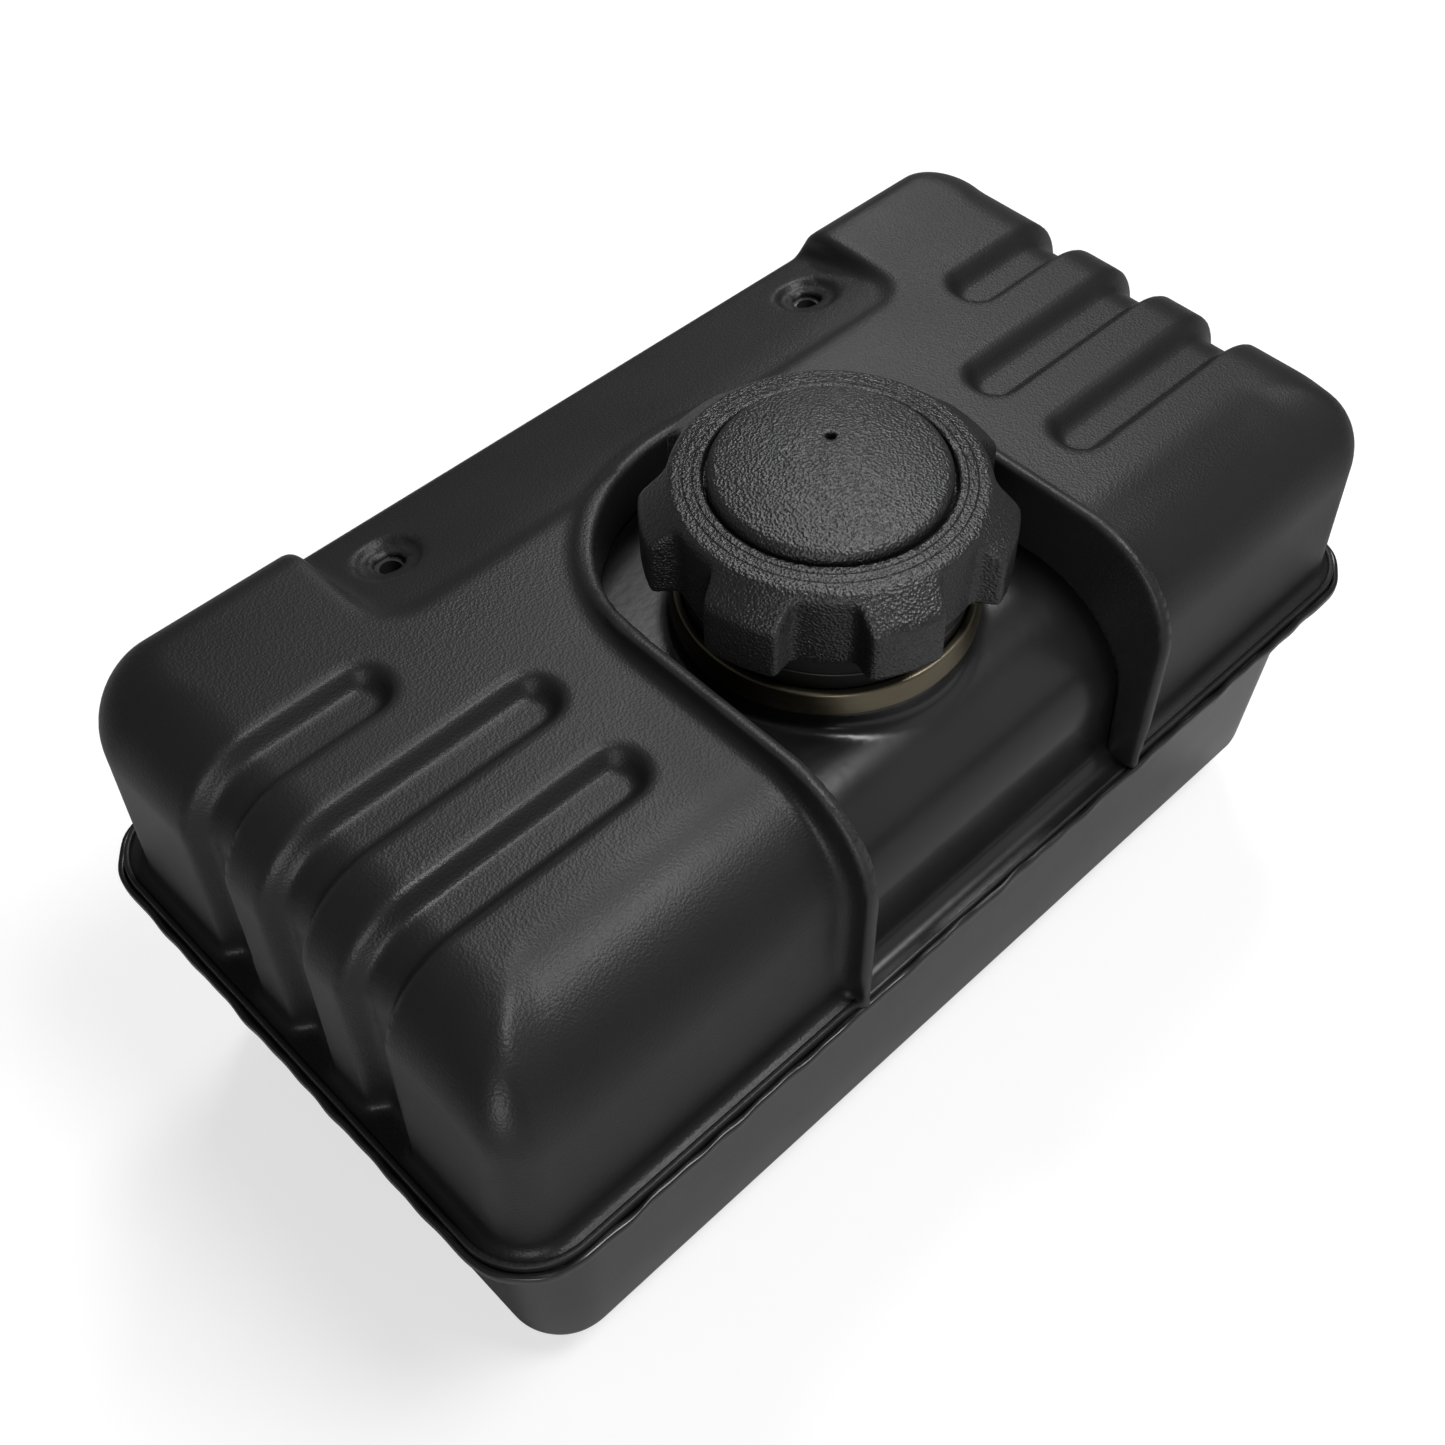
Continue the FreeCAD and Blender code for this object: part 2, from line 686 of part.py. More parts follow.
# keep the cover clear of the steel it sits over
steelOver = pan(
    "steelOver", "upperHalfX + coverGap", "upperHalfY + coverGap", "upperCorner + coverGap",
    "upperHeight", "-upperTaper", "upperRound", seam,
)
sketch = rounded_rectangle(
    new_sketch(steelOver, level=seam), "seamHalfX", "seamHalfY", "seamCorner", "seamCorner",
)
feature(steelOver, "Pad", sketch, "sheetThick")
foot = edges_at(steelOver.Shape, value(coverSeat), within("upperHalfX + coverGap", "upperHalfY + coverGap"))
round_edges(steelOver, foot, "upperFoot")
top_cover = join("Cut", "top_cover", [coverRimmed, steelOver])

# posts under the two holes, from the steel to the underside of the cover
posts = []
for side, x in (("left", "-screwX"), ("right", "screwX")):
    blank = cylinder("postBlank_" + side, "postRadius", "2 * coverHeight", x, "screwY", seam)
    fitted = join("MultiCommon", "postFitted_" + side, [blank, coverHollow])
    hole = cylinder("postHole_" + side, "postHole", "3 * coverHeight", x, "screwY", "bracketHeight")
    bored = join("Cut", "postBored_" + side, [fitted, hole])
    posts.append(join("Cut", "cover_post_" + side, [bored, upper]))

# foam pads that keep the cover off the steel
pads = []
for side, x in (("left", "-padX"), ("right", "padX")):
    pad = doc.addObject("Part::Box", "cover_pad_" + side)
    pad.Label = "cover_pad_" + side
    pad.setExpression("Length", bound("2 * padHalfX"))
    pad.setExpression("Width", bound("2 * padHalfY"))
    pad.setExpression("Height", bound(coverTop + " - coverThick - " + steelTop))
    pad.setExpression("Placement.Base.x", bound(x + " - padHalfX"))
    pad.setExpression("Placement.Base.y", bound("padY - padHalfY"))
    pad.setExpression("Placement.Base.z", bound(steelTop))
    pads.append(pad)
doc.recompute()

# filler neck, collar and strainer, all turned about the neck's axis
filler_neck = new_body("filler_neck", y="neckY")
turned(filler_neck, [
    ("neckBore", bossTop + " - neckTail"),
    ("neckSpigot", bossTop + " - neckTail"),
    ("neckSpigot", bossTop),
    ("neckRadius", bossTop),
    ("neckRadius", neckTop),
    ("neckBore", neckTop),
])
neck_collar = new_body("neck_collar", y="neckY")
turned(neck_collar, [
    ("neckRadius + neckFit", bossTop),
    ("collarRadius", bossTop),
    ("collarTopRadius", bossTop + " + collarHeight"),
    ("neckRadius + neckFit", bossTop + " + collarHeight"),
])
strainerFloor = neckTop + " - strainerDepth"
strainer_basket = new_body("strainer_basket", y="neckY")
turned(strainer_basket, [
    ("0", strainerFloor),
    ("strainerRadius", strainerFloor),
    ("strainerRadius", neckTop),
    ("(neckBore + neckRadius) / 2", neckTop),
    ("(neckBore + neckRadius) / 2", neckTop + " + strainerLip"),
    ("strainerRadius - strainerThick", neckTop + " + strainerLip"),
    ("strainerRadius - strainerThick", strainerFloor + " + strainerBase"),
    ("0", strainerFloor + " + strainerBase"),
])


def around(body, item, count):
    pattern = body.newObject("PartDesign::PolarPattern", body.Name + "Pattern")
    pattern.Originals = [item]
    axis = [entry for entry in body.Origin.OriginFeatures if entry.Role == "Z_Axis"][0]
    pattern.Axis = (axis, [""])
    pattern.Angle = 360.0
    pattern.setExpression("Occurrences", bound(count))
    body.Tip = pattern
    doc.recompute()
    return pattern


sketch = polygon(new_sketch(strainer_basket, "XZ_Plane"), [
    ("-windowWidth / 2", strainerFloor + " + 2 * strainerBase"),
    ("windowWidth / 2", strainerFloor + " + 2 * strainerBase"),
    ("windowWidth / 2", strainerFloor + " + 2 * strainerBase + windowHeight"),
    ("-windowWidth / 2", strainerFloor + " + 2 * strainerBase + windowHeight"),
])
window = feature(strainer_basket, "Pocket", sketch, "strainerRadius + strainerThick")
around(strainer_basket, window, "windowCount")
strainer_mesh = new_body("strainer_mesh", y="neckY")
turned(strainer_mesh, [
    ("strainerRadius - strainerThick - neckFit - meshThick", strainerFloor + " + strainerBase"),
    ("strainerRadius - strainerThick - neckFit", strainerFloor + " + strainerBase"),
    ("strainerRadius - strainerThick - neckFit", strainerFloor + " + 3 * strainerBase + windowHeight"),
    (
        "strainerRadius - strainerThick - neckFit - meshThick",
        strainerFloor + " + 3 * strainerBase + windowHeight",
    ),
])

# cap
cap_shell = new_body("cap_shell", y="neckY")
turned(cap_shell, [
    ("neckRadius + capFit", capBottom),
    ("capLobeRadius", capBottom),
    ("capLobeRadius", capTop + " - capShoulder"),
    ("capTopRadius", capTop),
    ("domeRadius + domeGap", capTop),
    ("domeRadius + domeGap", capTop + " - domeSeat"),
    ("0", capTop + " - domeSeat"),
    ("0", capUnder),
    ("neckRadius + capFit", capUnder),
])
sketch = new_sketch(cap_shell, level=capBottom)
phase = math.radians(value("capLobePhase + 180 / capLobes"))
near = math.radians(value("valleyHalfAngle"))
wide = near + math.radians(value("valleyFlare"))
deep, far = value("capValleyRadius"), value("capLobeRadius + capRoof")


def polar(radius, angle):
    return Vector(radius * math.cos(angle), radius * math.sin(angle), 0)


valleyCircle = Part.Circle(Vector(0, 0, 0), Vector(0, 0, 1), deep)
sketch.addGeometry(Part.ArcOfCircle(valleyCircle, phase - near, phase + near), False)
sketch.addGeometry(Part.LineSegment(polar(deep, phase + near), polar(far, phase + wide)), False)
sketch.addGeometry(Part.LineSegment(polar(far, phase + wide), polar(far, phase - wide)), False)
sketch.addGeometry(Part.LineSegment(polar(far, phase - wide), polar(deep, phase - near)), False)
sketch.addConstraint(Sketcher.Constraint("Coincident", 0, 2, 1, 1))
sketch.addConstraint(Sketcher.Constraint("Coincident", 1, 2, 2, 1))
sketch.addConstraint(Sketcher.Constraint("Coincident", 2, 2, 3, 1))
sketch.addConstraint(Sketcher.Constraint("Coincident", 3, 2, 0, 1))
sketch.addConstraint(Sketcher.Constraint("Coincident", 0, 3, -1, 1))
radius = sketch.addConstraint(Sketcher.Constraint("Radius", 0, deep))
sketch.setExpression("Constraints[%d]" % radius, "Dims.capValleyRadius")
valley = feature(cap_shell, "Pocket", sketch, "capHeight", down=True)
around(cap_shell, valley, "capLobes")

cap_dome = new_body("cap_dome", y="neckY")
sketch = new_sketch(cap_dome, "XZ_Plane")
low = value(capTop + " - domeSeat")
side = value(capTop + " + domeSide")
crown = value(capTop + " + domeSide + domeCrown")
rim_radius = value("domeRadius")
ball = (rim_radius ** 2 + (crown - side) ** 2) / (2 * (crown - side))
sketch.addGeometry(Part.LineSegment(Vector(0, low, 0), Vector(rim_radius, low, 0)), False)
sketch.addGeometry(Part.LineSegment(Vector(rim_radius, low, 0), Vector(rim_radius, side, 0)), False)
curve = Part.Circle(Vector(0, crown - ball, 0), Vector(0, 0, 1), ball)
sketch.addGeometry(Part.ArcOfCircle(curve, math.asin((side - crown + ball) / ball), math.pi / 2), False)
sketch.addGeometry(Part.LineSegment(Vector(0, crown, 0), Vector(0, low, 0)), False)
for first, second in ((0, 1), (1, 2), (2, 3), (3, 0)):
    sketch.addConstraint(Sketcher.Constraint("Coincident", first, 2, second, 1))
pin(sketch, 0, 1, "0", capTop + " - domeSeat")
pin(sketch, 1, 1, "domeRadius", capTop + " - domeSeat")
pin(sketch, 2, 1, "domeRadius", capTop + " + domeSide")
pin(sketch, 3, 1, "0", capTop + " + domeSide + domeCrown")
sketch.addConstraint(Sketcher.Constraint("PointOnObject", 2, 3, -2))
item = cap_dome.newObject("PartDesign::Revolution", "cap_domeRevolution")
item.Profile = sketch
item.ReferenceAxis = (sketch, ["V_Axis"])
item.Angle = 360.0
doc.recompute()
sketch = circle(new_sketch(cap_dome, level=capTop + " - domeSeat"), "ventRadius", x="ventX", y="ventY")
feature(cap_dome, "Pocket", sketch, "domeSeat + domeSide + domeCrown", down=True)

cap_gasket = new_body("cap_gasket", y="neckY")
turned(cap_gasket, [
    ("gasketInner", capUnder + " - gasketThick"),
    ("neckRadius", capUnder + " - gasketThick"),
    ("neckRadius", capUnder),
    ("gasketInner", capUnder),
])
cap_vent_cup = new_body("cap_vent_cup", y="neckY")
turned(cap_vent_cup, [
    ("0", capUnder + " - foamThick - ventPlateThick"),
    ("ventPlateRadius", capUnder + " - foamThick - ventPlateThick"),
    ("ventPlateRadius", capUnder),
    ("ventPlateRadius - ventPlateThick", capUnder),
    ("ventPlateRadius - ventPlateThick", capUnder + " - foamThick"),
    ("0", capUnder + " - foamThick"),
])
cap_vent_foam = new_body("cap_vent_foam", y="neckY")
turned(cap_vent_foam, [
    ("0", capUnder + " - foamThick"),
    ("foamRadius", capUnder + " - foamThick"),
    ("foamRadius", capUnder),
    ("0", capUnder),
])

# fuel outlet low on the back wall; its own axis points away from the tank
wallY = "(lowerHalfY - (bracketHeight + lowerDepth - outletHeight) * tan(lowerTaper))"


def outlet(label):
    body = new_body(label)
    body.Placement = Placement(Vector(0, 0, 0), Rotation(Vector(1, 0, 0), -90))
    body.setExpression("Placement.Base.x", bound("outletX"))
    body.setExpression("Placement.Base.y", bound(wallY))
    body.setExpression("Placement.Base.z", bound("outletHeight"))
    return body


outlet_bush = outlet("outlet_bush")
turned(outlet_bush, [
    ("outletThread + neckFit", "-bushInside"),
    ("bushRadius", "-bushInside"),
    ("bushRadius", "bushProud"),
    ("outletThread + neckFit", "bushProud"),
])
outlet_washer = outlet("outlet_washer")
turned(outlet_washer, [
    ("outletThread + neckFit", "bushProud"),
    ("washerRadius", "bushProud"),
    ("washerRadius", "bushProud + washerThick"),
    ("outletThread + neckFit", "bushProud + washerThick"),
])
hexStart = "bushProud + washerThick"
tipEnd = hexStart + " + hexLength + spigotLength"
outlet_fitting = outlet("outlet_fitting")
turned(outlet_fitting, [
    ("spigotBore", "-bushInside"),
    ("outletThread", "-bushInside"),
    ("outletThread", hexStart + " + hexLength / 2"),
    ("spigotRadius", hexStart + " + hexLength / 2"),
    ("spigotRadius", tipEnd + " - 2 * hexLength"),
    ("spigotBarb", tipEnd + " - 2 * hexLength"),
    ("spigotRadius", tipEnd + " - 3 * hexLength / 2"),
    ("spigotRadius", tipEnd + " - hexLength / 2"),
    ("spigotBarb", tipEnd + " - hexLength / 2"),
    ("spigotRadius - ventPlateThick / 2", tipEnd),
    ("spigotBore", tipEnd),
])


def hexagon(sketch, half, x="0", y="0"):
    # hexagon by its distance across flats
    reach = value(half) / math.cos(math.pi / 6)
    centre = Vector(value(x), value(y), 0)
    corners = [centre + polar(reach, number * math.pi / 3) for number in range(6)]
    start = sketch.GeometryCount
    for number in range(6):
        sketch.addGeometry(Part.LineSegment(corners[number], corners[(number + 1) % 6]), False)
    for number in range(6):
        following = start + (number + 1) % 6
        sketch.addConstraint(Sketcher.Constraint("Coincident", start + number, 2, following, 1))
        turn_x = "%s + %s * %d / 2 / cos(30)" % (x, half, round(2 * math.cos(number * math.pi / 3)))
        turn_y = "%s + %s * %d" % (y, half, round(math.sin(number * math.pi / 3) / math.cos(math.pi / 6)))
        pin(sketch, start + number, 1, turn_x, turn_y)
    return sketch


sketch = hexagon(new_sketch(outlet_fitting, level=hexStart), "hexHalf")
circle(sketch, "spigotBore")
feature(outlet_fitting, "Pad", sketch, "hexLength")
outlet_screen = outlet("outlet_screen")
turned(outlet_screen, [
    ("spigotBore", "-bushInside"),
    ("spigotBore", "-bushInside - screenLength + strainerBase"),
    ("0", "-bushInside - screenLength + strainerBase"),
    ("0", "-bushInside - screenLength"),
    ("screenRadius", "-bushInside - screenLength"),
    ("screenRadius", "-bushInside"),
])
bushHole = outlet("bushHole")
turned(bushHole, [
    ("0", "-2 * bushInside"),
    ("bushRadius + neckFit", "-2 * bushInside"),
    ("bushRadius + neckFit", "2 * bushProud"),
    ("0", "2 * bushProud"),
])
lower_shell = join("Cut", "lower_shell", [lower_pan, bushHole])

# mounting brackets: two welded hat sections with captive nuts
brackets = []
for side, x in (("left", "-bracketX"), ("right", "bracketX")):
    bracket = new_body("mount_bracket_" + side, x=x)
    half = "bracketHalfX"
    sketch = polygon(new_sketch(bracket, "XZ_Plane"), [
        ("-%s" % half, "0"),
        (half, "0"),
        (half, "bracketHeight - bracketThick"),
        (half + " + bracketFoot", "bracketHeight - bracketThick"),
        (half + " + bracketFoot", "bracketHeight"),
        (half + " - bracketThick", "bracketHeight"),
        (half + " - bracketThick", "bracketThick"),
        ("-%s + bracketThick" % half, "bracketThick"),
        ("-%s + bracketThick" % half, "bracketHeight"),
        ("-%s - bracketFoot" % half, "bracketHeight"),
        ("-%s - bracketFoot" % half, "bracketHeight - bracketThick"),
        ("-%s" % half, "bracketHeight - bracketThick"),
    ])
    feature(bracket, "Pad", sketch, "2 * bracketHalfY", both=True)
    sketch = new_sketch(bracket)
    circle(sketch, "mountHole", y="mountY")
    circle(sketch, "mountHole", y="-mountY")
    feature(bracket, "Pocket", sketch, "bracketThick", down=True)
    brackets.append(bracket)

nuts = []
for x in ("-bracketX", "bracketX"):
    for y in ("-mountY", "mountY"):
        nut = new_body("mountNut", x=x, y=y)
        sketch = hexagon(new_sketch(nut, level="bracketThick"), "nutHalf")
        circle(sketch, "nutBore")
        feature(nut, "Pad", sketch, "nutHeight")
        nuts.append(nut)
mount_nuts = join("MultiFuse", "mount_nuts", nuts)

parts = [lower_shell, upper_shell, top_cover] + posts + pads
parts += [filler_neck, neck_collar, strainer_basket, strainer_mesh]
parts += [cap_shell, cap_dome, cap_gasket, cap_vent_cup, cap_vent_foam]
parts += [outlet_bush, outlet_washer, outlet_fitting, outlet_screen]
parts += brackets + [mount_nuts]

doc.recompute()
for item in doc.Objects:
    if "Invalid" in item.State or "Error" in item.State:
        raise RuntimeError("%s failed: %s" % (item.Label, item.State))
os.makedirs("parts", exist_ok=True)
for item in parts:
    if item.Shape.isNull() or not item.Shape.isValid():
        raise RuntimeError(item.Label + " has no valid shape")
    print(item.Label, len(item.Shape.Solids), round(item.Shape.Volume))
    item.Shape.exportStep("parts/%s.step" % item.Label)
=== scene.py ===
import math

import bpy
import bmesh
import numpy as np
from mathutils import Matrix, Vector


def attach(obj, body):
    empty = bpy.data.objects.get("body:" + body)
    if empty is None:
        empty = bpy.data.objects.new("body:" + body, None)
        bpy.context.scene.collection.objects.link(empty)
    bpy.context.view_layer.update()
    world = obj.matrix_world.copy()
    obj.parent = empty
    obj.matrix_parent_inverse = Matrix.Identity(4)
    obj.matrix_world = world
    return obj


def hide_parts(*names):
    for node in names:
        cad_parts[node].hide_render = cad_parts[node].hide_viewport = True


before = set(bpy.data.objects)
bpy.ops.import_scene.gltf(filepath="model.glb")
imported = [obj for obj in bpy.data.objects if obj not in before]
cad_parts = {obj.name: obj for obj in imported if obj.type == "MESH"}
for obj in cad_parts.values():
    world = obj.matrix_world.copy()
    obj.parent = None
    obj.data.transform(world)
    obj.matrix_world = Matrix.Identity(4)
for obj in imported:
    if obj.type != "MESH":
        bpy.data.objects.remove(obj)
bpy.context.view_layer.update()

scene = bpy.context.scene
print("frame loaded")

# levels and centres that several pieces share, in millimetres
tank = {
    "seam": 76.0,
    "coverSeat": 77.0,
    "flangeTop": 79.0,
    "steelTop": 119.5,
    "bossTop": 125.0,
    "coverTop": 136.4,
    "neckY": -16.4,
    "seamGap": 0.2,
    "neckTop": 152.8,
    "capBottom": 140.5,
    "capTop": 159.5,
}


def planField(x, y, halfX, halfY, cornerFront, cornerBack):
    # distance to a rounded rectangle seen from above, negative inside
    corner = np.where(y < 0, cornerFront, cornerBack)
    across = np.abs(x) - halfX + corner
    along = np.abs(y) - halfY + corner
    outside = np.hypot(np.maximum(across, 0), np.maximum(along, 0))
    return outside + np.minimum(np.maximum(across, along), 0) - corner


def roundMax(a, b, radius):
    # both forms at once, their shared edge rounded
    corner = np.hypot(np.maximum(a + radius, 0), np.maximum(b + radius, 0))
    return np.minimum(np.maximum(a, b), -radius) + corner


def roundMin(a, b, radius):
    # either form, with a fillet between them
    corner = np.hypot(np.maximum(radius - a, 0), np.maximum(radius - b, 0))
    return np.maximum(np.minimum(a, b), radius) - corner


def softMax(a, b, width):
    # both forms at once, blended where they are nearly the same
    near = np.maximum(width - np.abs(a - b), 0) / width
    return np.maximum(a, b) + near * near * width / 4


def softMin(a, b, width):
    return -softMax(-a, -b, width)


def domeField(x, y, z, form, inset=0.0):
    # drafted block whose top edge has its own rounding at the front, the ends and the back
    lean = math.radians(form["taper"])
    halfX, halfY, top = form["halfX"] - inset, form["halfY"] - inset, form["top"] - inset
    roundEnd, roundFront, roundBack = (form[key] - inset for key in ("roundEnd", "roundFront", "roundBack"))
    # the corners open out a little as the top rounds over
    turned = np.clip((z - top + roundEnd) / roundEnd, 0, 1)
    spread = form["spread"] * roundEnd * (1 - np.sqrt(1 - turned * turned))
    front, back = form["cornerFront"] + inset + spread, form["cornerBack"] + inset + spread
    plan = planField(x, y, halfX, halfY, front, back)
    wall = (plan + math.tan(lean) * (z - form["base"])) * math.cos(lean)
    overX = np.maximum(np.abs(x) - halfX + form["blend"], 0)
    overY = np.maximum(np.abs(y) - halfY + form["blend"], 0)
    turn = np.clip(np.arctan2(overX, overY + 1e-6) / (math.pi / 4) - 0.5, 0, 1)
    turn = turn * turn * (3 - 2 * turn)
    rounding = np.where(y < 0, roundFront, roundBack) * (1 - turn) + roundEnd * turn
    return roundMax(wall, z - top, rounding)


net = {"steps": 3, "probe": 0.02, "leastSlope": 0.2, "reach": 0.6}


def surfaceNet(field, low, high, cell):
    # closed mesh where the field is zero: one corner in each cell that the surface crosses
    cell = np.array(cell) * np.ones(3)
    counts = [int(math.ceil((b - a) / size)) + 1 for a, b, size in zip(low, high, cell)]
    axes = [a + size * np.arange(n) for a, n, size in zip(low, counts, cell)]
    grid = field(*np.meshgrid(*axes, indexing="ij"))
    inside = grid < 0
    corners = sum(
        inside[i:counts[0] - 1 + i, j:counts[1] - 1 + j, k:counts[2] - 1 + k].astype(np.int8)
        for i in (0, 1) for j in (0, 1) for k in (0, 1)
    )
    active = (corners > 0) & (corners < 8)
    index = np.full(active.shape, -1, np.int64)
    index[active] = np.arange(active.sum())
    cells = np.argwhere(active)
    total = np.zeros((len(cells), 3))
    hits = np.zeros(len(cells))
    faces = []
    for axis in range(3):
        one = np.zeros(3, int)
        one[axis] = 1
        a = grid[tuple(slice(0, counts[n] - one[n]) for n in range(3))]
        b = grid[tuple(slice(one[n], counts[n]) for n in range(3))]
        crossing = (a < 0) != (b < 0)
        where = np.argwhere(crossing)
        share = (a / np.where(crossing, a - b, 1))[crossing]
        point = where.astype(float)
        point[:, axis] += share
        u, v = (axis + 1) % 3, (axis + 2) % 3
        quad = []
        good = np.ones(len(where), bool)
        for du, dv in ((-1, -1), (0, -1), (0, 0), (-1, 0)):
            at = where.copy()
            at[:, u] += du
            at[:, v] += dv
            fits = np.all((at >= 0) & (at < np.array(active.shape)), axis=1)
            good &= fits
            found = np.where(fits, index[tuple(np.where(fits[:, None], at, 0).T)], -1)
            quad.append(found)
            real = found >= 0
            np.add.at(total, found[real], point[real])
            np.add.at(hits, found[real], 1)
        quad = np.stack(quad, 1)[good]
        flip = (a[crossing] >= 0)[good]
        quad[flip] = quad[flip][:, ::-1]
        faces.append(quad)
    points = np.array(low) + cell * total / hits[:, None]
    # pull the corners onto the surface itself
    start = points.copy()
    for step in range(net["steps"]):
        value = field(*points.T)
        slope = np.stack([
            field(*(points + shift).T) - field(*(points - shift).T)
            for shift in np.eye(3) * net["probe"]
        ], 1) / (2 * net["probe"])
        points = points - slope * (value / np.maximum((slope ** 2).sum(1), net["leastSlope"]))[:, None]
        away = points - start
        size = np.linalg.norm(away, axis=1)
        limit = cell.max() * net["reach"]
        points = start + away * np.minimum(1, limit / np.maximum(size, 1e-9))[:, None]
    return points, np.concatenate(faces)


def makePiece(name, points, faces):
    # millimetres in, a smooth mesh object in metres out
    mesh = bpy.data.meshes.new(name)
    mesh.from_pydata((np.asarray(points) / 1000).tolist(), [], [list(map(int, f)) for f in faces])
    mesh.validate()
    mesh.polygons.foreach_set("use_smooth", [True] * len(mesh.polygons))
    piece = bpy.data.objects.new(name, mesh)
    scene.collection.objects.link(piece)
    return piece


def faceOutwards(mesh, merge=False):
    # turns every face outwards, after doubled corners are merged where a shape has them
    bm = bmesh.new()
    bm.from_mesh(mesh)
    if merge:
        bmesh.ops.remove_doubles(bm, verts=bm.verts, dist=1e-6)
    bmesh.ops.recalc_face_normals(bm, faces=bm.faces)
    bm.to_mesh(mesh)
    bm.free()


def lathe(name, profile, steps):
    # closed profile of (radius, height) pairs turned about the neck's axis
    angles = np.arange(steps) * 2 * math.pi / steps
    rings = [
        np.stack([r * np.cos(angles), tank["neckY"] + r * np.sin(angles), np.full(steps, z)], 1)
        for r, z in profile
    ]
    points = np.concatenate(rings)
    count = len(profile)
    faces = []
    for p in range(count):
        q = (p + 1) % count
        for s in range(steps):
            t = (s + 1) % steps
            faces.append((p * steps + s, p * steps + t, q * steps + t, q * steps + s))
    piece = makePiece(name, points, faces)
    faceOutwards(piece.data, merge=True)
    return piece


def roundedProfile(corners, radii, steps=5):
    # a closed outline whose corners are rounded by their own radii
    out = []
    count = len(corners)
    for n, (corner, radius) in enumerate(zip(corners, radii)):
        here = np.array(corner, float)
        if radius == 0:
            out.append(tuple(here))
            continue
        before = np.array(corners[n - 1], float) - here
        after = np.array(corners[(n + 1) % count], float) - here
        before /= np.linalg.norm(before)
        after /= np.linalg.norm(after)
        half = math.acos(max(-1, min(1, float(before @ after)))) / 2
        run = radius / math.tan(half)
        a, b = here + before * run, here + after * run
        for step in range(steps + 1):
            t = step / steps
            out.append(tuple((1 - t) ** 2 * a + 2 * t * (1 - t) * here + t * t * b))
    return out


# moulded cover
cover = {
    "form": {
        "halfX": 131.6, "halfY": 68.5, "cornerFront": 10.0, "cornerBack": 14.5, "taper": 1.2,
        "base": tank["coverSeat"], "top": tank["coverTop"],
        "roundFront": 25.6, "roundEnd": 19.1, "roundBack": 9.0, "spread": 0.5, "blend": 30.0,
    },
    "thick": 2.2,
    "grooveY": (21.8, -3.0, -27.8),
    "grooveTip": (90.5, 68.5, 68.5),
    "grooveDepth": 4.3,
    "grooveFloor": 3.0,
    "grooveLip": 4.6,
    "grooveInner": 0.8,
    "recessHalfX": 76.5,
    "recessFront": 31.5,
    "recessDrop": 8.6,
    "recessRun": 37.0,
    "recessCorner": 9.0,
    "recessBackCorner": 1.0,
    "recessFoot": 3.0,
    "recessEdge": 3.0,
    "screwX": 62.5,
    "screwY": 50.5,
    "screwRadius": 3.5,
    "dimpleRadius": 7.0,
    "dimpleDepth": 1.4,
    "dimpleFoot": 0.8,
    "dimpleEdge": 1.0,
    "bayHalf": 43.5,
    "bayY": -10.0,
    "rimWidth": 3.0,
    "rimFoot": 1.3,
    "rimTaper": 14.0,
    "rimRise": 4.6,
    "rimFront": 74.0,
    "rimRound": 25.0,
    "rimOverhang": 1.3,
    "rimEdge": 0.9,
    "rimBlend": 3.2,
    "bayClear": 1.6,
    "gap": 0.3,
    "seatGap": 0.05,
    "flangeHalfX": 136.0,
    "flangeHalfY": 72.5,
    "flangeCorner": 16.5,
    "flangeInset": 0.3,
    "flangeFoot": 2.6,
    "cell": (1.35, 1.35, 1.2),
    "low": (-138.0, -76.0, 74.6),
    "high": (138.0, 75.0, 143.0),
}
steel = {
    "form": {
        "halfX": 123.0, "halfY": 65.3, "cornerFront": 30.0, "cornerBack": 30.0, "taper": 3.0,
        "base": tank["seam"], "top": tank["steelTop"],
        "roundFront": 25.0, "roundEnd": 25.0, "roundBack": 25.0, "spread": 0.0, "blend": 30.0,
    },
    "foot": 5.0,
    "bossRadius": 32.0,
    "bossFoot": 2.5,
    "bossEdge": 1.3,
    "hole": 29.7,
    "flangeHalfX": 136.5,
    "flangeHalfY": 73.0,
    "flangeCorner": 16.7,
    "flangeEdge": 0.4,
    "cell": (1.35, 1.35, 0.7),
    "low": (-139.0, -76.0, 74.3),
    "high": (139.0, 76.0, 127.6),
}


def steelField(x, y, z):
    # domed pressing with its flange and the boss that the filler neck stands in
    radius = np.hypot(x, y - tank["neckY"])
    dome = domeField(x, y, z, steel["form"])
    corner = steel["flangeCorner"]
    plan = planField(x, y, steel["flangeHalfX"], steel["flangeHalfY"], corner, corner)
    boss = roundMax(radius - steel["bossRadius"], z - tank["bossTop"], steel["bossEdge"])
    flange = roundMax(plan, z - tank["coverSeat"], steel["flangeEdge"])
    whole = roundMin(dome, flange, steel["foot"])
    whole = roundMin(whole, boss, steel["bossFoot"])
    whole = np.maximum(whole, tank["seam"] + tank["seamGap"] - z)
    return np.maximum(whole, steel["hole"] - radius)


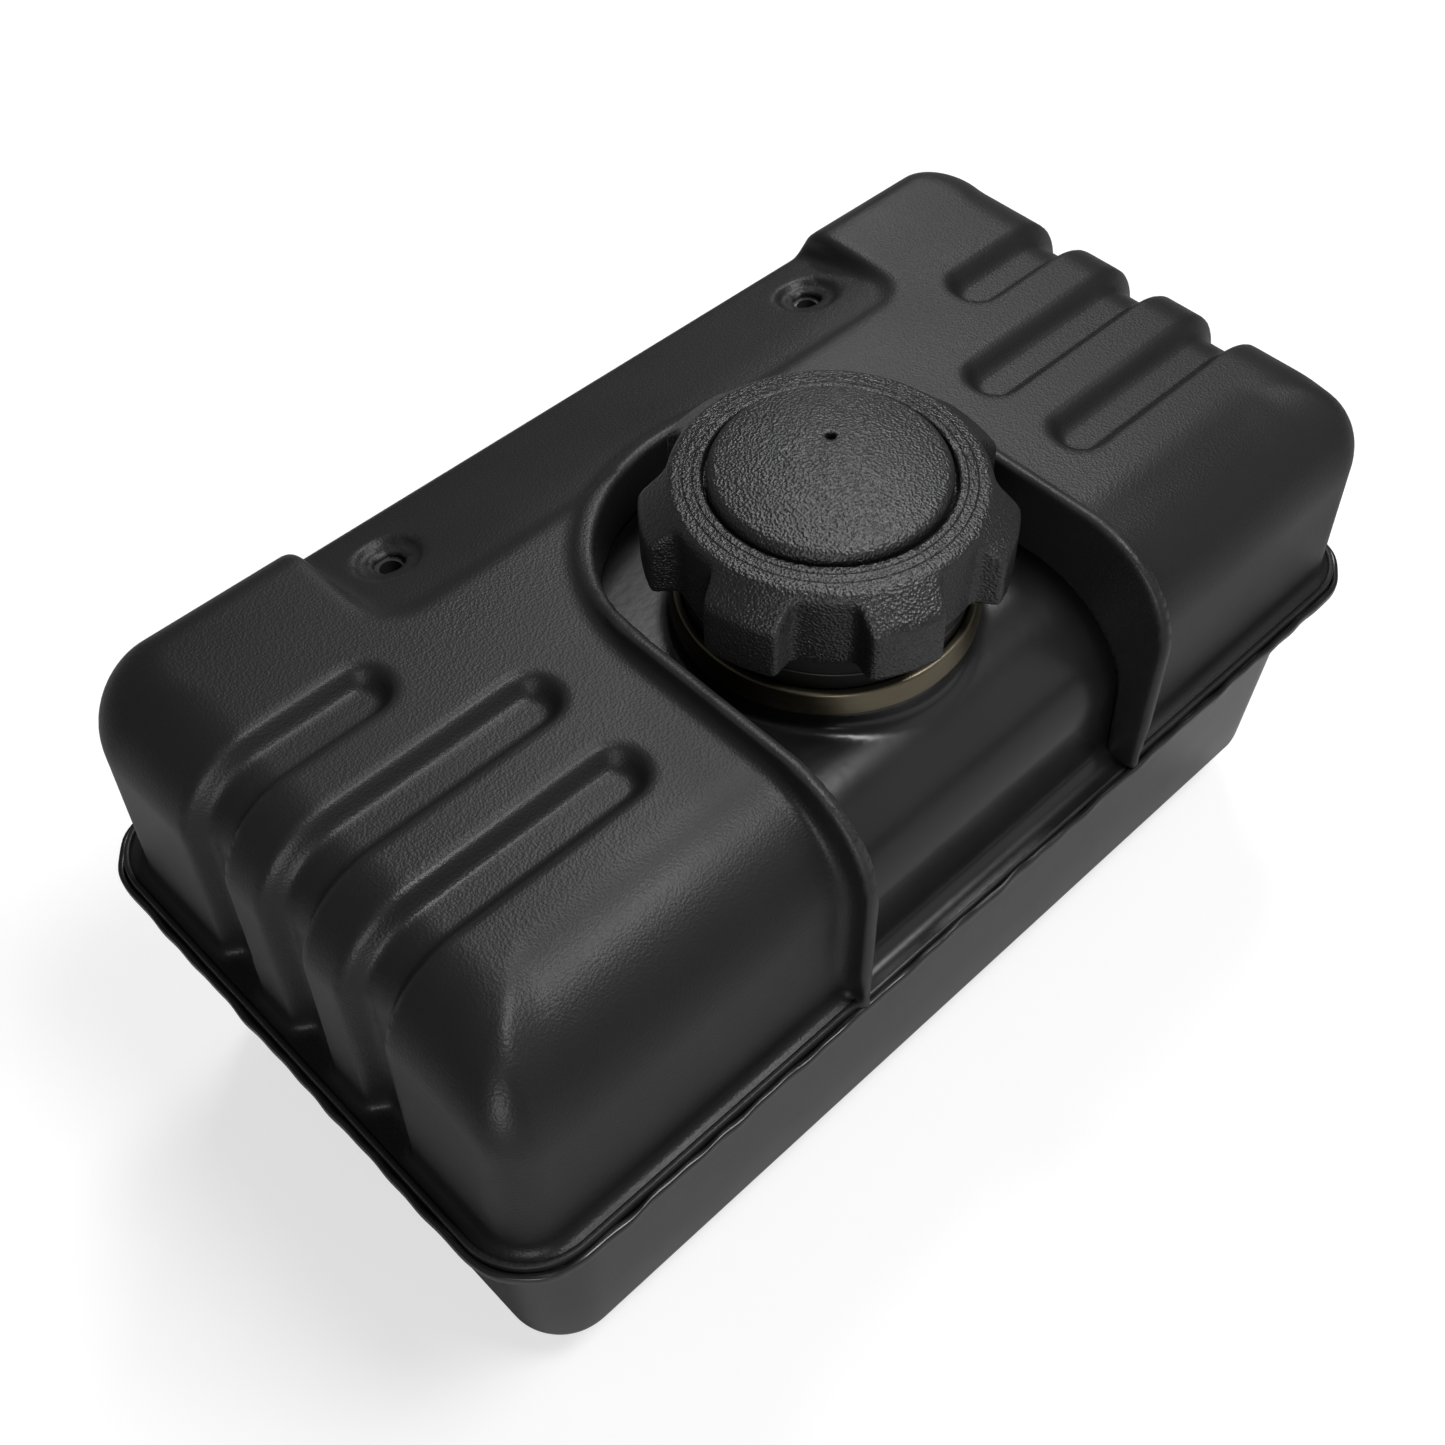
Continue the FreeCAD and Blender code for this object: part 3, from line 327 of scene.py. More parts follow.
def coverSkin(x, y, z, inset):
    # one side of the moulding: its outside, or the inside that follows it at the wall's thickness
    side = np.abs(x)
    skin = domeField(x, y, z, cover["form"], inset)
    for centre, tip in zip(cover["grooveY"], cover["grooveTip"]):
        off = np.where(side < tip, np.hypot(side - tip, y - centre), np.abs(y - centre))
        floor = cover["grooveFloor"] + cover["grooveInner"] * inset
        ease = np.clip((off - floor) / cover["grooveLip"], 0, 1)
        skin = skin + cover["grooveDepth"] * (0.5 + 0.5 * np.cos(math.pi * ease))
    # sloping pad at the back, with a round dimple at each screw
    slope = math.atan(cover["recessDrop"] / cover["recessRun"])
    run = np.clip(y - cover["recessFront"], 0, cover["recessRun"])
    above = (z - tank["coverTop"] + run * math.tan(slope)) * math.cos(slope) + inset
    reach = 2 * cover["recessRun"]
    plan = planField(
        x, y - cover["recessFront"] - reach, cover["recessHalfX"], reach,
        cover["recessCorner"], cover["recessBackCorner"],
    ) - inset
    recess = roundMax(plan, -above, cover["recessFoot"] + inset)
    skin = softMax(skin, -recess, cover["recessEdge"])
    screw = np.hypot(side - cover["screwX"], y - cover["screwY"]) - inset
    dimple = roundMax(screw - cover["dimpleRadius"], -above - cover["dimpleDepth"], cover["dimpleFoot"])
    return softMax(skin, -dimple, cover["dimpleEdge"])


def coverField(x, y, z):
    # the moulding: its skin, the flange, the raised rim of the bay and the two screw holes
    side = np.abs(x)
    outer = coverSkin(x, y, z, 0.0)
    inner = coverSkin(x, y, z, cover["thick"])
    halfX, halfY = cover["flangeHalfX"] - cover["flangeInset"], cover["flangeHalfY"] - cover["flangeInset"]
    plan = planField(x, y, halfX, halfY, cover["flangeCorner"], cover["flangeCorner"])
    outer = roundMin(outer, np.maximum(z - tank["flangeTop"], plan), cover["flangeFoot"])
    # raised rim round the bay
    bay = np.where(y > cover["bayY"], np.hypot(x, y - cover["bayY"]), side) - cover["bayHalf"]
    rise = np.clip((cover["bayHalf"] / 2 - y) / (cover["bayHalf"] * 0.75), 0, 1)
    crest = tank["coverTop"] + cover["rimRise"] * rise * rise * (3 - 2 * rise)
    rim = roundMax(z - crest, -y - cover["rimFront"], cover["rimRound"])
    lift = np.where(y < -cover["flangeHalfY"], cover["rimOverhang"], 0.0)
    rim = np.maximum(rim, tank["coverSeat"] + lift - z)
    rim = np.maximum(rim, y - cover["bayHalf"])
    over = domeField(x, y, z, steel["form"])
    rim = np.maximum(rim, cover["bayClear"] - over)
    shell = np.maximum(outer, -inner)
    foot = np.clip((z - tank["flangeTop"]) / cover["rimTaper"], 0, 1)
    width = cover["rimFoot"] + (cover["rimWidth"] - cover["rimFoot"]) * foot * foot * (3 - 2 * foot)
    whole = softMin(shell, softMax(bay - width, rim, cover["rimEdge"]), cover["rimBlend"])
    whole = softMax(whole, -bay, cover["rimEdge"])
    whole = np.maximum(whole, cover["gap"] - over)
    screw = np.hypot(side - cover["screwX"], y - cover["screwY"])
    whole = np.maximum(whole, cover["screwRadius"] - screw)
    return np.maximum(whole, tank["coverSeat"] + cover["seatGap"] - z)


points, faces = surfaceNet(coverField, cover["low"], cover["high"], cover["cell"])
coverPiece = makePiece("moulded_cover", points, faces)
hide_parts("top_cover")
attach(coverPiece, "tank")
print("cover", len(faces))

points, faces = surfaceNet(steelField, steel["low"], steel["high"], steel["cell"])
steelPiece = makePiece("upper_pressing", points, faces)
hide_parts("upper_shell")
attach(steelPiece, "tank")
print("upper pressing", len(faces))

# filler cap
cap = {
    "lobeRadius": 38.2,
    "topRadius": 31.5,
    "topEdge": 0.35,
    "shoulder": 6.0,
    "shoulderEdge": 1.2,
    "coneRise": 0.8,
    "coneSlope": 0.14,
    "valleyRadius": 32.8,
    "valleyAngle": 10.5,
    "valleyFlare": 4.6,
    "valleyFoot": 1.3,
    "valleyEdge": 1.0,
    "beyond": 3.0,
    "lobes": 7,
    "phase": 145.5,
    "bore": 30.55,
    "roof": 3.0,
    "seatEdge": 0.5,
    "domeRadius": 24.5,
    "domeGap": 0.9,
    "domeSeat": 1.5,
    "domeSide": 2.4,
    "domeCrown": 3.2,
    "domeEdge": 1.6,
    "ventRadius": 1.1,
    "ventX": 3.9,
    "ventY": 3.9,
    "ventEdge": 0.3,
    "circles": (27.2, 29.2),
    "circleWidth": 0.2,
    "circleDepth": 0.25,
    "circleReach": 0.6,
    "cell": 0.75,
    "low": (-39.5, tank["neckY"] - 39.5, 139.2),
    "high": (39.5, tank["neckY"] + 39.5, 162.6),
    "domeCell": 0.6,
    "domeLow": (-25.8, tank["neckY"] - 25.8, 156.9),
    "domeHigh": (25.8, tank["neckY"] + 25.8, 166.4),
}


def capField(x, y, z):
    # grip with lobes round it, a shallow cone on top and a seat for the crown
    dy = y - tank["neckY"]
    radius = np.hypot(x, dy)
    pitch = 2 * math.pi / cap["lobes"]
    first = math.radians(cap["phase"]) + pitch / 2
    turn = (np.arctan2(dy, x) - first + pitch / 2) % pitch - pitch / 2
    across, along = np.abs(radius * np.sin(turn)), radius * np.cos(turn)
    near = math.radians(cap["valleyAngle"])
    far = near + math.radians(cap["valleyFlare"])
    low, high = cap["valleyRadius"], cap["lobeRadius"] + cap["beyond"]
    acrossLow, alongLow = low * math.sin(near), low * math.cos(near)
    lean = (high * math.sin(far) - acrossLow) / (high * math.cos(far) - alongLow)
    flank = (across - acrossLow - lean * (along - alongLow)) / math.hypot(1, lean)
    valley = roundMax(low - radius, flank, cap["valleyFoot"])
    drop = cap["shoulder"]
    inset = cap["lobeRadius"] - cap["topRadius"]
    shoulder = (radius - cap["lobeRadius"]) * drop + (z - tank["capTop"] + drop) * inset
    shoulder = shoulder / math.hypot(drop, inset)
    cone = cap["coneRise"] - cap["coneSlope"] * (radius - cap["domeRadius"] - cap["domeGap"])
    top = (z - tank["capTop"] - cone) / math.hypot(1, cap["coneSlope"])
    body = softMax(radius - cap["lobeRadius"], shoulder, cap["shoulderEdge"])
    body = softMax(body, top, cap["topEdge"])
    body = softMax(body, -valley, cap["valleyEdge"])
    body = softMax(body, tank["capBottom"] - z, cap["shoulderEdge"])
    body = np.maximum(body, -np.maximum(radius - cap["bore"], z - tank["capTop"] + cap["roof"]))
    seat = np.maximum(radius - cap["domeRadius"] - cap["domeGap"], tank["capTop"] - cap["domeSeat"] - z)
    return softMax(body, -seat, cap["seatEdge"])


def capDomeField(x, y, z):
    # crown of the cap, with its vent hole
    dy = y - tank["neckY"]
    radius = np.hypot(x, dy)
    side = tank["capTop"] + cap["domeSide"]
    ball = (cap["domeRadius"] ** 2 + cap["domeCrown"] ** 2) / (2 * cap["domeCrown"])
    sphere = np.sqrt(radius ** 2 + (z - side - cap["domeCrown"] + ball) ** 2) - ball
    body = roundMax(radius - cap["domeRadius"], sphere, cap["domeEdge"])
    body = np.maximum(body, tank["capTop"] - cap["domeSeat"] - z)
    vent = np.hypot(x - cap["ventX"], dy - cap["ventY"])
    return softMax(body, cap["ventRadius"] - vent, cap["ventEdge"])


points, faces = surfaceNet(capField, cap["low"], cap["high"], cap["cell"])
capPiece = makePiece("cap_grip", points, faces)
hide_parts("cap_shell")
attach(capPiece, "cap")
points, faces = surfaceNet(capDomeField, cap["domeLow"], cap["domeHigh"], cap["domeCell"])
domePiece = makePiece("cap_crown", points, faces)
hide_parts("cap_dome")
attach(domePiece, "cap")
print("cap", len(faces))

# lower pan and its hemmed seam, as rings of a rounded rectangle
pan = {
    "halfX": 130.4, "halfY": 67.8, "corner": 17.5, "taper": 3.4, "round": 9.0, "bottom": 9.0,
    "leastCorner": 2.0, "roundSteps": 8, "wallShares": (0.25, 0.5, 0.75, 0.93),
    "flare": 2.4, "flareLevel": 72.6, "flareSteps": 5, "flareCorner": 0.4,
    "seamHalfX": 137.6, "seamHalfY": 74.1, "seamCorner": 18.1,
    "hemRise": 2.0, "hemWidth": 1.5, "hemStep": 1.2, "sheet": 1.0, "hemRounds": (0.75, 0.7, 0.7, 0),
    "openHalfX": 126.0, "openHalfY": 62.0, "openCorner": 14.0,
    "wave": 0.24, "lift": 0.6, "perArc": 22, "perSide": 150, "perEnd": 80,
}
# each row is how many waves run round the seam, where they start and how strong they are
seamWaves = ((31, 0.0, 0.5), (53, 1.3, 0.3), (83, 4.0, 0.35))
liftWaves = ((47, 0.6, 1.0), (91, 2.0, 0.5))


def outlineRing(halfX, halfY, corner, z, wave=0.0):
    # points round a rounded rectangle, in the same order for every ring
    inX, inY = halfX - corner, halfY - corner
    centres = ((inX, -inY, -90), (inX, inY, 0), (-inX, inY, 90), (-inX, -inY, 180))
    runs = (pan["perEnd"], pan["perSide"], pan["perEnd"], pan["perSide"])
    ring = []
    for n, (x, y, start) in enumerate(centres):
        for step in range(pan["perArc"]):
            angle = math.radians(start + 90 * step / (pan["perArc"] - 1))
            away = (math.cos(angle), math.sin(angle))
            ring.append((x + corner * away[0], y + corner * away[1], *away))
        a = ring[-1]
        nextX, nextY, nextStart = centres[(n + 1) % 4]
        angle = math.radians(nextStart)
        away = (math.cos(angle), math.sin(angle))
        b = (nextX + corner * away[0], nextY + corner * away[1])
        for step in range(1, runs[n]):
            t = step / runs[n]
            ring.append((a[0] + (b[0] - a[0]) * t, a[1] + (b[1] - a[1]) * t, *away))
    ring = np.array(ring)
    gaps = np.linalg.norm(np.diff(ring[:, :2], axis=0, append=ring[:1, :2]), axis=1)
    along = np.concatenate([[0], np.cumsum(gaps)[:-1]]) / gaps.sum() * 2 * math.pi
    shift = wave * sum(size * np.sin(along * count + start) for count, start, size in seamWaves)
    rise = wave * pan["lift"] * sum(size * np.sin(along * count + start) for count, start, size in liftWaves)
    return np.stack([ring[:, 0] + ring[:, 2] * shift, ring[:, 1] + ring[:, 3] * shift, z + rise], 1)


def ringLoft(name, rings):
    # skin over rings of equal length, closed at both ends
    size = len(rings[0])
    points = np.concatenate(rings)
    faces = []
    last = (len(rings) - 1) * size
    for level in range(0, last, size):
        for n in range(size):
            m = (n + 1) % size
            faces.append((level + n, level + m, level + size + m, level + size + n))
    faces.append(tuple(reversed(range(size))))
    faces.append(tuple(range(last, last + size)))
    piece = makePiece(name, points, faces)
    faceOutwards(piece.data)
    return piece


rings = []
lean = math.tan(math.radians(pan["taper"]))
seam = tank["seam"]
bottom = pan["bottom"]
wallRun = seam - bottom - pan["round"]
for step in range(pan["roundSteps"] + 1):
    angle = math.radians(90 - (90 - pan["taper"]) * step / pan["roundSteps"])
    inset = lean * wallRun + pan["round"] * (1 - math.cos(angle))
    z = bottom + pan["round"] * (1 - math.sin(angle))
    corner = max(pan["corner"] - inset, pan["leastCorner"])
    rings.append(outlineRing(pan["halfX"] - inset, pan["halfY"] - inset, corner, z))
for share in pan["wallShares"]:
    z = bottom + pan["round"] + wallRun * share
    inset = lean * (seam - z)
    rings.append(outlineRing(pan["halfX"] - inset, pan["halfY"] - inset, pan["corner"] - inset, z))
for step in range(1, pan["flareSteps"] + 1):
    angle = math.radians(90 * step / pan["flareSteps"])
    out = pan["flare"] * (1 - math.cos(angle))
    z = pan["flareLevel"] + pan["flare"] * math.sin(angle)
    corner = pan["corner"] - pan["flareCorner"] * out
    rings.append(outlineRing(pan["halfX"] + out, pan["halfY"] + out, corner, z))
low, top, width = seam - pan["sheet"], seam + pan["hemRise"], pan["hemWidth"]
hemProfile = roundedProfile([(0.0, low), (0.0, top), (width, top), (width, seam)], pan["hemRounds"])
for inset, z in [(pan["hemStep"], low)] + hemProfile:
    halfX, halfY = pan["seamHalfX"] - inset, pan["seamHalfY"] - inset
    rings.append(outlineRing(halfX, halfY, pan["seamCorner"] - inset, z, pan["wave"]))
rings.append(outlineRing(pan["openHalfX"], pan["openHalfY"], pan["openCorner"], seam))
panPiece = ringLoft("lower_pan", rings)
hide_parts("lower_shell")
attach(panPiece, "tank")
print("lower pan")

# raised lip along the cover's flange, open where the bay is
lip = {"width": 1.2, "foot": 1.6, "low": 77.1, "step": 78.8, "high": 79.8, "open": 47.0, "ends": 1.05,
       "rounds": (0.3, 0.5, 0.5, 0, 0), "roundSteps": 4}
lipProfile = roundedProfile([
    (0.0, lip["low"]), (0.0, lip["high"]), (lip["width"], lip["high"]),
    (lip["foot"], lip["step"]), (lip["foot"], lip["low"]),
], lip["rounds"], lip["roundSteps"])
loops = []
for inset, z in lipProfile:
    halfX, halfY = cover["flangeHalfX"] - inset, cover["flangeHalfY"] - inset
    loops.append(outlineRing(halfX, halfY, cover["flangeCorner"] - inset, z))
loops = np.array(loops)
count = loops.shape[1]
keep = [n for n in range(count) if not (abs(loops[0, n, 0]) < lip["open"] and loops[0, n, 1] < 0)]
start = next(n for n in keep if (n - 1) % count not in keep)
band = loops[:, [(start + n) % count for n in range(len(keep))]]
for end in (0, -1):
    band[:, end, 0] = np.sign(band[0, end, 0]) * cover["bayHalf"] * lip["ends"]
points = band.reshape(-1, 3)
across, along = band.shape[:2]
faces = []
for p in range(across):
    here, there = p * along, (p + 1) % across * along
    faces += [(here + n, here + n + 1, there + n + 1, there + n) for n in range(along - 1)]
faces.append(tuple(p * along for p in range(across)))
faces.append(tuple(p * along + along - 1 for p in reversed(range(across))))
lipPiece = makePiece("cover_lip", points, faces)
faceOutwards(lipPiece.data)
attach(lipPiece, "tank")

# collar and threaded neck
collar = {"radius": 33.0, "topRadius": 32.2, "height": 5.5, "bore": 30.4,
          "rounds": (0, 0.4, 0.9, 0.5), "steps": 160}
base = tank["bossTop"]
top = base + collar["height"]
collarPiece = lathe("collar_ring", roundedProfile([
    (collar["bore"], base), (collar["radius"], base), (collar["topRadius"], top), (collar["bore"], top),
], collar["rounds"]), collar["steps"])
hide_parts("neck_collar")
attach(collarPiece, "tank")
neck = {"radius": 30.2, "bore": 28.6, "spigot": 29.4, "tail": 8.0,
        "rounds": (0, 0, 0, 0, 0.4, 0.4), "steps": 160}
tail = base - neck["tail"]
neckPiece = lathe("neck_tube", roundedProfile([
    (neck["bore"], tail), (neck["spigot"], tail), (neck["spigot"], base), (neck["radius"], base),
    (neck["radius"], tank["neckTop"]), (neck["bore"], tank["neckTop"]),
], neck["rounds"]), neck["steps"])
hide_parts("filler_neck")
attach(neckPiece, "tank")


thread = {"Radius": 0.0302, "Pitch": 0.005, "Turns": 3.4, "Ridge": 0.0003, "Start": 0.1325}


def ridgeTree():
    # a ridge that winds up round the neck: a spiral with a small round section
    tree = bpy.data.node_groups.new("threadRidge", "GeometryNodeTree")
    tree.interface.new_socket(name="Geometry", in_out="INPUT", socket_type="NodeSocketGeometry")
    for label, default in thread.items():
        socket = tree.interface.new_socket(name=label, in_out="INPUT", socket_type="NodeSocketFloat")
        socket.default_value = default
    tree.interface.new_socket(name="Material", in_out="INPUT", socket_type="NodeSocketMaterial")
    tree.interface.new_socket(name="Geometry", in_out="OUTPUT", socket_type="NodeSocketGeometry")
    nodes, links = tree.nodes, tree.links
    entry, leave = nodes.new("NodeGroupInput"), nodes.new("NodeGroupOutput")
    spiral = nodes.new("GeometryNodeCurveSpiral")
    spiral.inputs["Resolution"].default_value = 96
    rise = nodes.new("ShaderNodeMath")
    rise.operation = "MULTIPLY"
    links.new(entry.outputs["Pitch"], rise.inputs[0])
    links.new(entry.outputs["Turns"], rise.inputs[1])
    links.new(entry.outputs["Turns"], spiral.inputs["Rotations"])
    links.new(entry.outputs["Radius"], spiral.inputs["Start Radius"])
    links.new(entry.outputs["Radius"], spiral.inputs["End Radius"])
    links.new(rise.outputs[0], spiral.inputs["Height"])
    section = nodes.new("GeometryNodeCurvePrimitiveCircle")
    section.inputs["Resolution"].default_value = 8
    links.new(entry.outputs["Ridge"], section.inputs["Radius"])
    sweep = nodes.new("GeometryNodeCurveToMesh")
    sweep.inputs["Fill Caps"].default_value = True
    links.new(spiral.outputs["Curve"], sweep.inputs["Curve"])
    links.new(section.outputs["Curve"], sweep.inputs["Profile Curve"])
    place = nodes.new("ShaderNodeCombineXYZ")
    place.inputs["Y"].default_value = tank["neckY"] / 1000
    links.new(entry.outputs["Start"], place.inputs["Z"])
    shift = nodes.new("GeometryNodeTransform")
    links.new(sweep.outputs["Mesh"], shift.inputs["Geometry"])
    links.new(place.outputs["Vector"], shift.inputs["Translation"])
    real = nodes.new("GeometryNodeRealizeInstances")
    coat = nodes.new("GeometryNodeSetMaterial")
    links.new(shift.outputs["Geometry"], real.inputs["Geometry"])
    links.new(real.outputs["Geometry"], coat.inputs["Geometry"])
    links.new(entry.outputs["Material"], coat.inputs["Material"])
    links.new(coat.outputs["Geometry"], leave.inputs["Geometry"])
    return tree


def grownPiece(name, tree, values):
    # a plain mesh from a node tree: the modifier is gone before the piece is used
    seed = bpy.data.objects.new(name + "_seed", bpy.data.meshes.new(name + "_seed"))
    scene.collection.objects.link(seed)
    modifier = seed.modifiers.new("grow", "NODES")
    modifier.node_group = tree
    for socket in tree.interface.items_tree:
        if socket.item_type == "SOCKET" and socket.in_out == "INPUT" and socket.name in values:
            modifier[socket.identifier] = values[socket.name]
    graph = bpy.context.evaluated_depsgraph_get()
    mesh = bpy.data.meshes.new_from_object(seed.evaluated_get(graph))
    seed.modifiers.clear()
    bpy.data.objects.remove(seed)
    mesh.name = name
    piece = bpy.data.objects.new(name, mesh)
    scene.collection.objects.link(piece)
    faceOutwards(mesh, merge=True)
    mesh.polygons.foreach_set("use_smooth", [True] * len(mesh.polygons))
    return piece


threadPiece = grownPiece("neck_thread", ridgeTree(), thread)
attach(threadPiece, "tank")
print("collar and neck", len(threadPiece.data.polygons))


# shader helpers
def newMaterial(name):
    material = bpy.data.materials.new(name)
    material.use_nodes = True
    return material, material.node_tree.nodes, material.node_tree.links


def groupSocket(tree, name, kind, direction, default=None):
    socket = tree.interface.new_socket(name=name, in_out=direction, socket_type=kind)
    if default is not None:
        socket.default_value = default
    return socket


def makeGrainGroup():
    # pebbled moulding grain: a height and a slow change of tone, both over the surface
    tree = bpy.data.node_groups.new("pebbleGrain", "ShaderNodeTree")
    groupSocket(tree, "Vector", "NodeSocketVector", "INPUT")
    groupSocket(tree, "Grain Scale", "NodeSocketFloat", "INPUT", 900.0)
    groupSocket(tree, "Height", "NodeSocketFloat", "OUTPUT")
    groupSocket(tree, "Tone", "NodeSocketFloat", "OUTPUT")
    nodes, links = tree.nodes, tree.links
    entry = nodes.new("NodeGroupInput")
    leave = nodes.new("NodeGroupOutput")
    pebble = nodes.new("ShaderNodeTexVoronoi")
    pebble.feature = "SMOOTH_F1"
    pebble.inputs["Smoothness"].default_value = 0.6
    links.new(entry.outputs["Vector"], pebble.inputs["Vector"])
    links.new(entry.outputs["Grain Scale"], pebble.inputs["Scale"])
    fine = nodes.new("ShaderNodeTexNoise")
    fine.inputs["Detail"].default_value = 3.0
    double = nodes.new("ShaderNodeMath")
    double.operation = "MULTIPLY"
    double.inputs[1].default_value = 1.7
    links.new(entry.outputs["Grain Scale"], double.inputs[0])
    links.new(entry.outputs["Vector"], fine.inputs["Vector"])
    links.new(double.outputs[0], fine.inputs["Scale"])
    blend = nodes.new("ShaderNodeMath")
    blend.operation = "MULTIPLY_ADD"
    blend.inputs[1].default_value = 0.55
    links.new(fine.outputs["Fac"], blend.inputs[0])
    links.new(pebble.outputs["Distance"], blend.inputs[2])
    links.new(blend.outputs[0], leave.inputs["Height"])
    slow = nodes.new("ShaderNodeTexNoise")
    slow.inputs["Scale"].default_value = 28.0
    slow.inputs["Detail"].default_value = 4.0
    links.new(entry.outputs["Vector"], slow.inputs["Vector"])
    links.new(slow.outputs["Fac"], leave.inputs["Tone"])
    return tree


grainGroup = makeGrainGroup()


def makeCircleGroup():
    # fine circles cut into the top face of the cap
    tree = bpy.data.node_groups.new("fineCircles", "ShaderNodeTree")
    groupSocket(tree, "Vector", "NodeSocketVector", "INPUT")
    groupSocket(tree, "Height", "NodeSocketFloat", "OUTPUT")
    nodes, links = tree.nodes, tree.links
    entry, leave = nodes.new("NodeGroupInput"), nodes.new("NodeGroupOutput")
    centre = nodes.new("ShaderNodeVectorMath")
    centre.operation = "SUBTRACT"
    centre.inputs[1].default_value = (0, tank["neckY"] / 1000, 0)
    links.new(entry.outputs["Vector"], centre.inputs[0])
    flat = nodes.new("ShaderNodeVectorMath")
    flat.operation = "MULTIPLY"
    flat.inputs[1].default_value = (1, 1, 0)
    links.new(centre.outputs[0], flat.inputs[0])
    radius = nodes.new("ShaderNodeVectorMath")
    radius.operation = "LENGTH"
    links.new(flat.outputs[0], radius.inputs[0])
    last = None
    for size in cap["circles"]:
        off = nodes.new("ShaderNodeMath")
        off.operation = "SUBTRACT"
        off.inputs[1].default_value = size / 1000
        links.new(radius.outputs["Value"], off.inputs[0])
        span = nodes.new("ShaderNodeMath")
        span.operation = "ABSOLUTE"
        links.new(off.outputs[0], span.inputs[0])
        line = nodes.new("ShaderNodeMapRange")
        line.interpolation_type = "SMOOTHSTEP"
        line.inputs["From Min"].default_value = 0.0
        line.inputs["From Max"].default_value = cap["circleWidth"] / 1000
        line.inputs["To Min"].default_value = 1.0
        line.inputs["To Max"].default_value = 0.0
        links.new(span.outputs[0], line.inputs["Value"])
        if last:
            more = nodes.new("ShaderNodeMath")
            more.operation = "MAXIMUM"
            links.new(last, more.inputs[0])
            links.new(line.outputs["Result"], more.inputs[1])
            last = more.outputs[0]
        else:
            last = line.outputs["Result"]
    height = nodes.new("ShaderNodeSeparateXYZ")
    links.new(entry.outputs["Vector"], height.inputs[0])
    above = nodes.new("ShaderNodeMath")
    above.operation = "GREATER_THAN"
    above.inputs[1].default_value = (tank["capTop"] - cap["circleReach"]) / 1000
    links.new(height.outputs["Z"], above.inputs[0])
    cut = nodes.new("ShaderNodeMath")
    cut.operation = "MULTIPLY"
    links.new(last, cut.inputs[0])
    links.new(above.outputs[0], cut.inputs[1])
    links.new(cut.outputs[0], leave.inputs["Height"])
    return tree


def addCircles(material):
    # lays the circles' relief under the grain
    nodes, links = material.node_tree.nodes, material.node_tree.links
    coords = nodes.new("ShaderNodeTexCoord")
    circles = nodes.new("ShaderNodeGroup")
    circles.node_tree = makeCircleGroup()
    links.new(coords.outputs["Object"], circles.inputs["Vector"])
    relief = nodes.new("ShaderNodeBump")
    relief.invert = True
    relief.inputs["Strength"].default_value = 1.0
    relief.inputs["Distance"].default_value = cap["circleDepth"] / 1000
    links.new(circles.outputs["Height"], relief.inputs["Height"])
    links.new(relief.outputs["Normal"], nodes["Bump"].inputs["Normal"])


def makeEdgeHighlightGroup():
    # where edges stand out: a painted highlight along them, broken up by noise
    tree = bpy.data.node_groups.new("paintedEdgeHighlight", "ShaderNodeTree")
    groupSocket(tree, "Vector", "NodeSocketVector", "INPUT")
    groupSocket(tree, "Mask", "NodeSocketFloat", "OUTPUT")
    nodes, links = tree.nodes, tree.links
    entry, leave = nodes.new("NodeGroupInput"), nodes.new("NodeGroupOutput")
    shape = nodes.new("ShaderNodeNewGeometry")
    # pointiness picks the standing edges that get the painted highlight
    edge = nodes.new("ShaderNodeMapRange")
    edge.interpolation_type = "SMOOTHSTEP"
    edge.inputs["From Min"].default_value = 0.51
    edge.inputs["From Max"].default_value = 0.6
    links.new(shape.outputs["Pointiness"], edge.inputs["Value"])
    patch = nodes.new("ShaderNodeTexNoise")
    patch.inputs["Scale"].default_value = 55.0
    patch.inputs["Detail"].default_value = 5.0
    links.new(entry.outputs["Vector"], patch.inputs["Vector"])
    broken = nodes.new("ShaderNodeMapRange")
    broken.inputs["From Min"].default_value = 0.3
    broken.inputs["From Max"].default_value = 0.65
    links.new(patch.outputs["Fac"], broken.inputs["Value"])
    both = nodes.new("ShaderNodeMath")
    both.operation = "MULTIPLY"
    links.new(edge.outputs["Result"], both.inputs[0])
    links.new(broken.outputs["Result"], both.inputs[1])
    links.new(both.outputs[0], leave.inputs["Mask"])
    return tree


edgeHighlightGroup = makeEdgeHighlightGroup()


def addPaintedEdgeHighlight(material, tint):
    # mixes a lighter tone over the base colour along standing edges, as a painted highlight
    nodes, links = material.node_tree.nodes, material.node_tree.links
    shader = nodes["Principled BSDF"]
    source = shader.inputs["Base Color"].links[0].from_socket
    coords = nodes.new("ShaderNodeTexCoord")
    highlightNode = nodes.new("ShaderNodeGroup")
    highlightNode.node_tree = edgeHighlightGroup
    links.new(coords.outputs["Object"], highlightNode.inputs["Vector"])
    # the lighter tint mixed in here is a painted highlight on the edges
    blend = nodes.new("ShaderNodeMix")
    blend.data_type = "RGBA"
    blend.inputs["B"].default_value = (*tint, 1)
    links.new(highlightNode.outputs["Mask"], blend.inputs["Factor"])
    links.new(source, blend.inputs["A"])
    links.new(blend.outputs["Result"], shader.inputs["Base Color"])


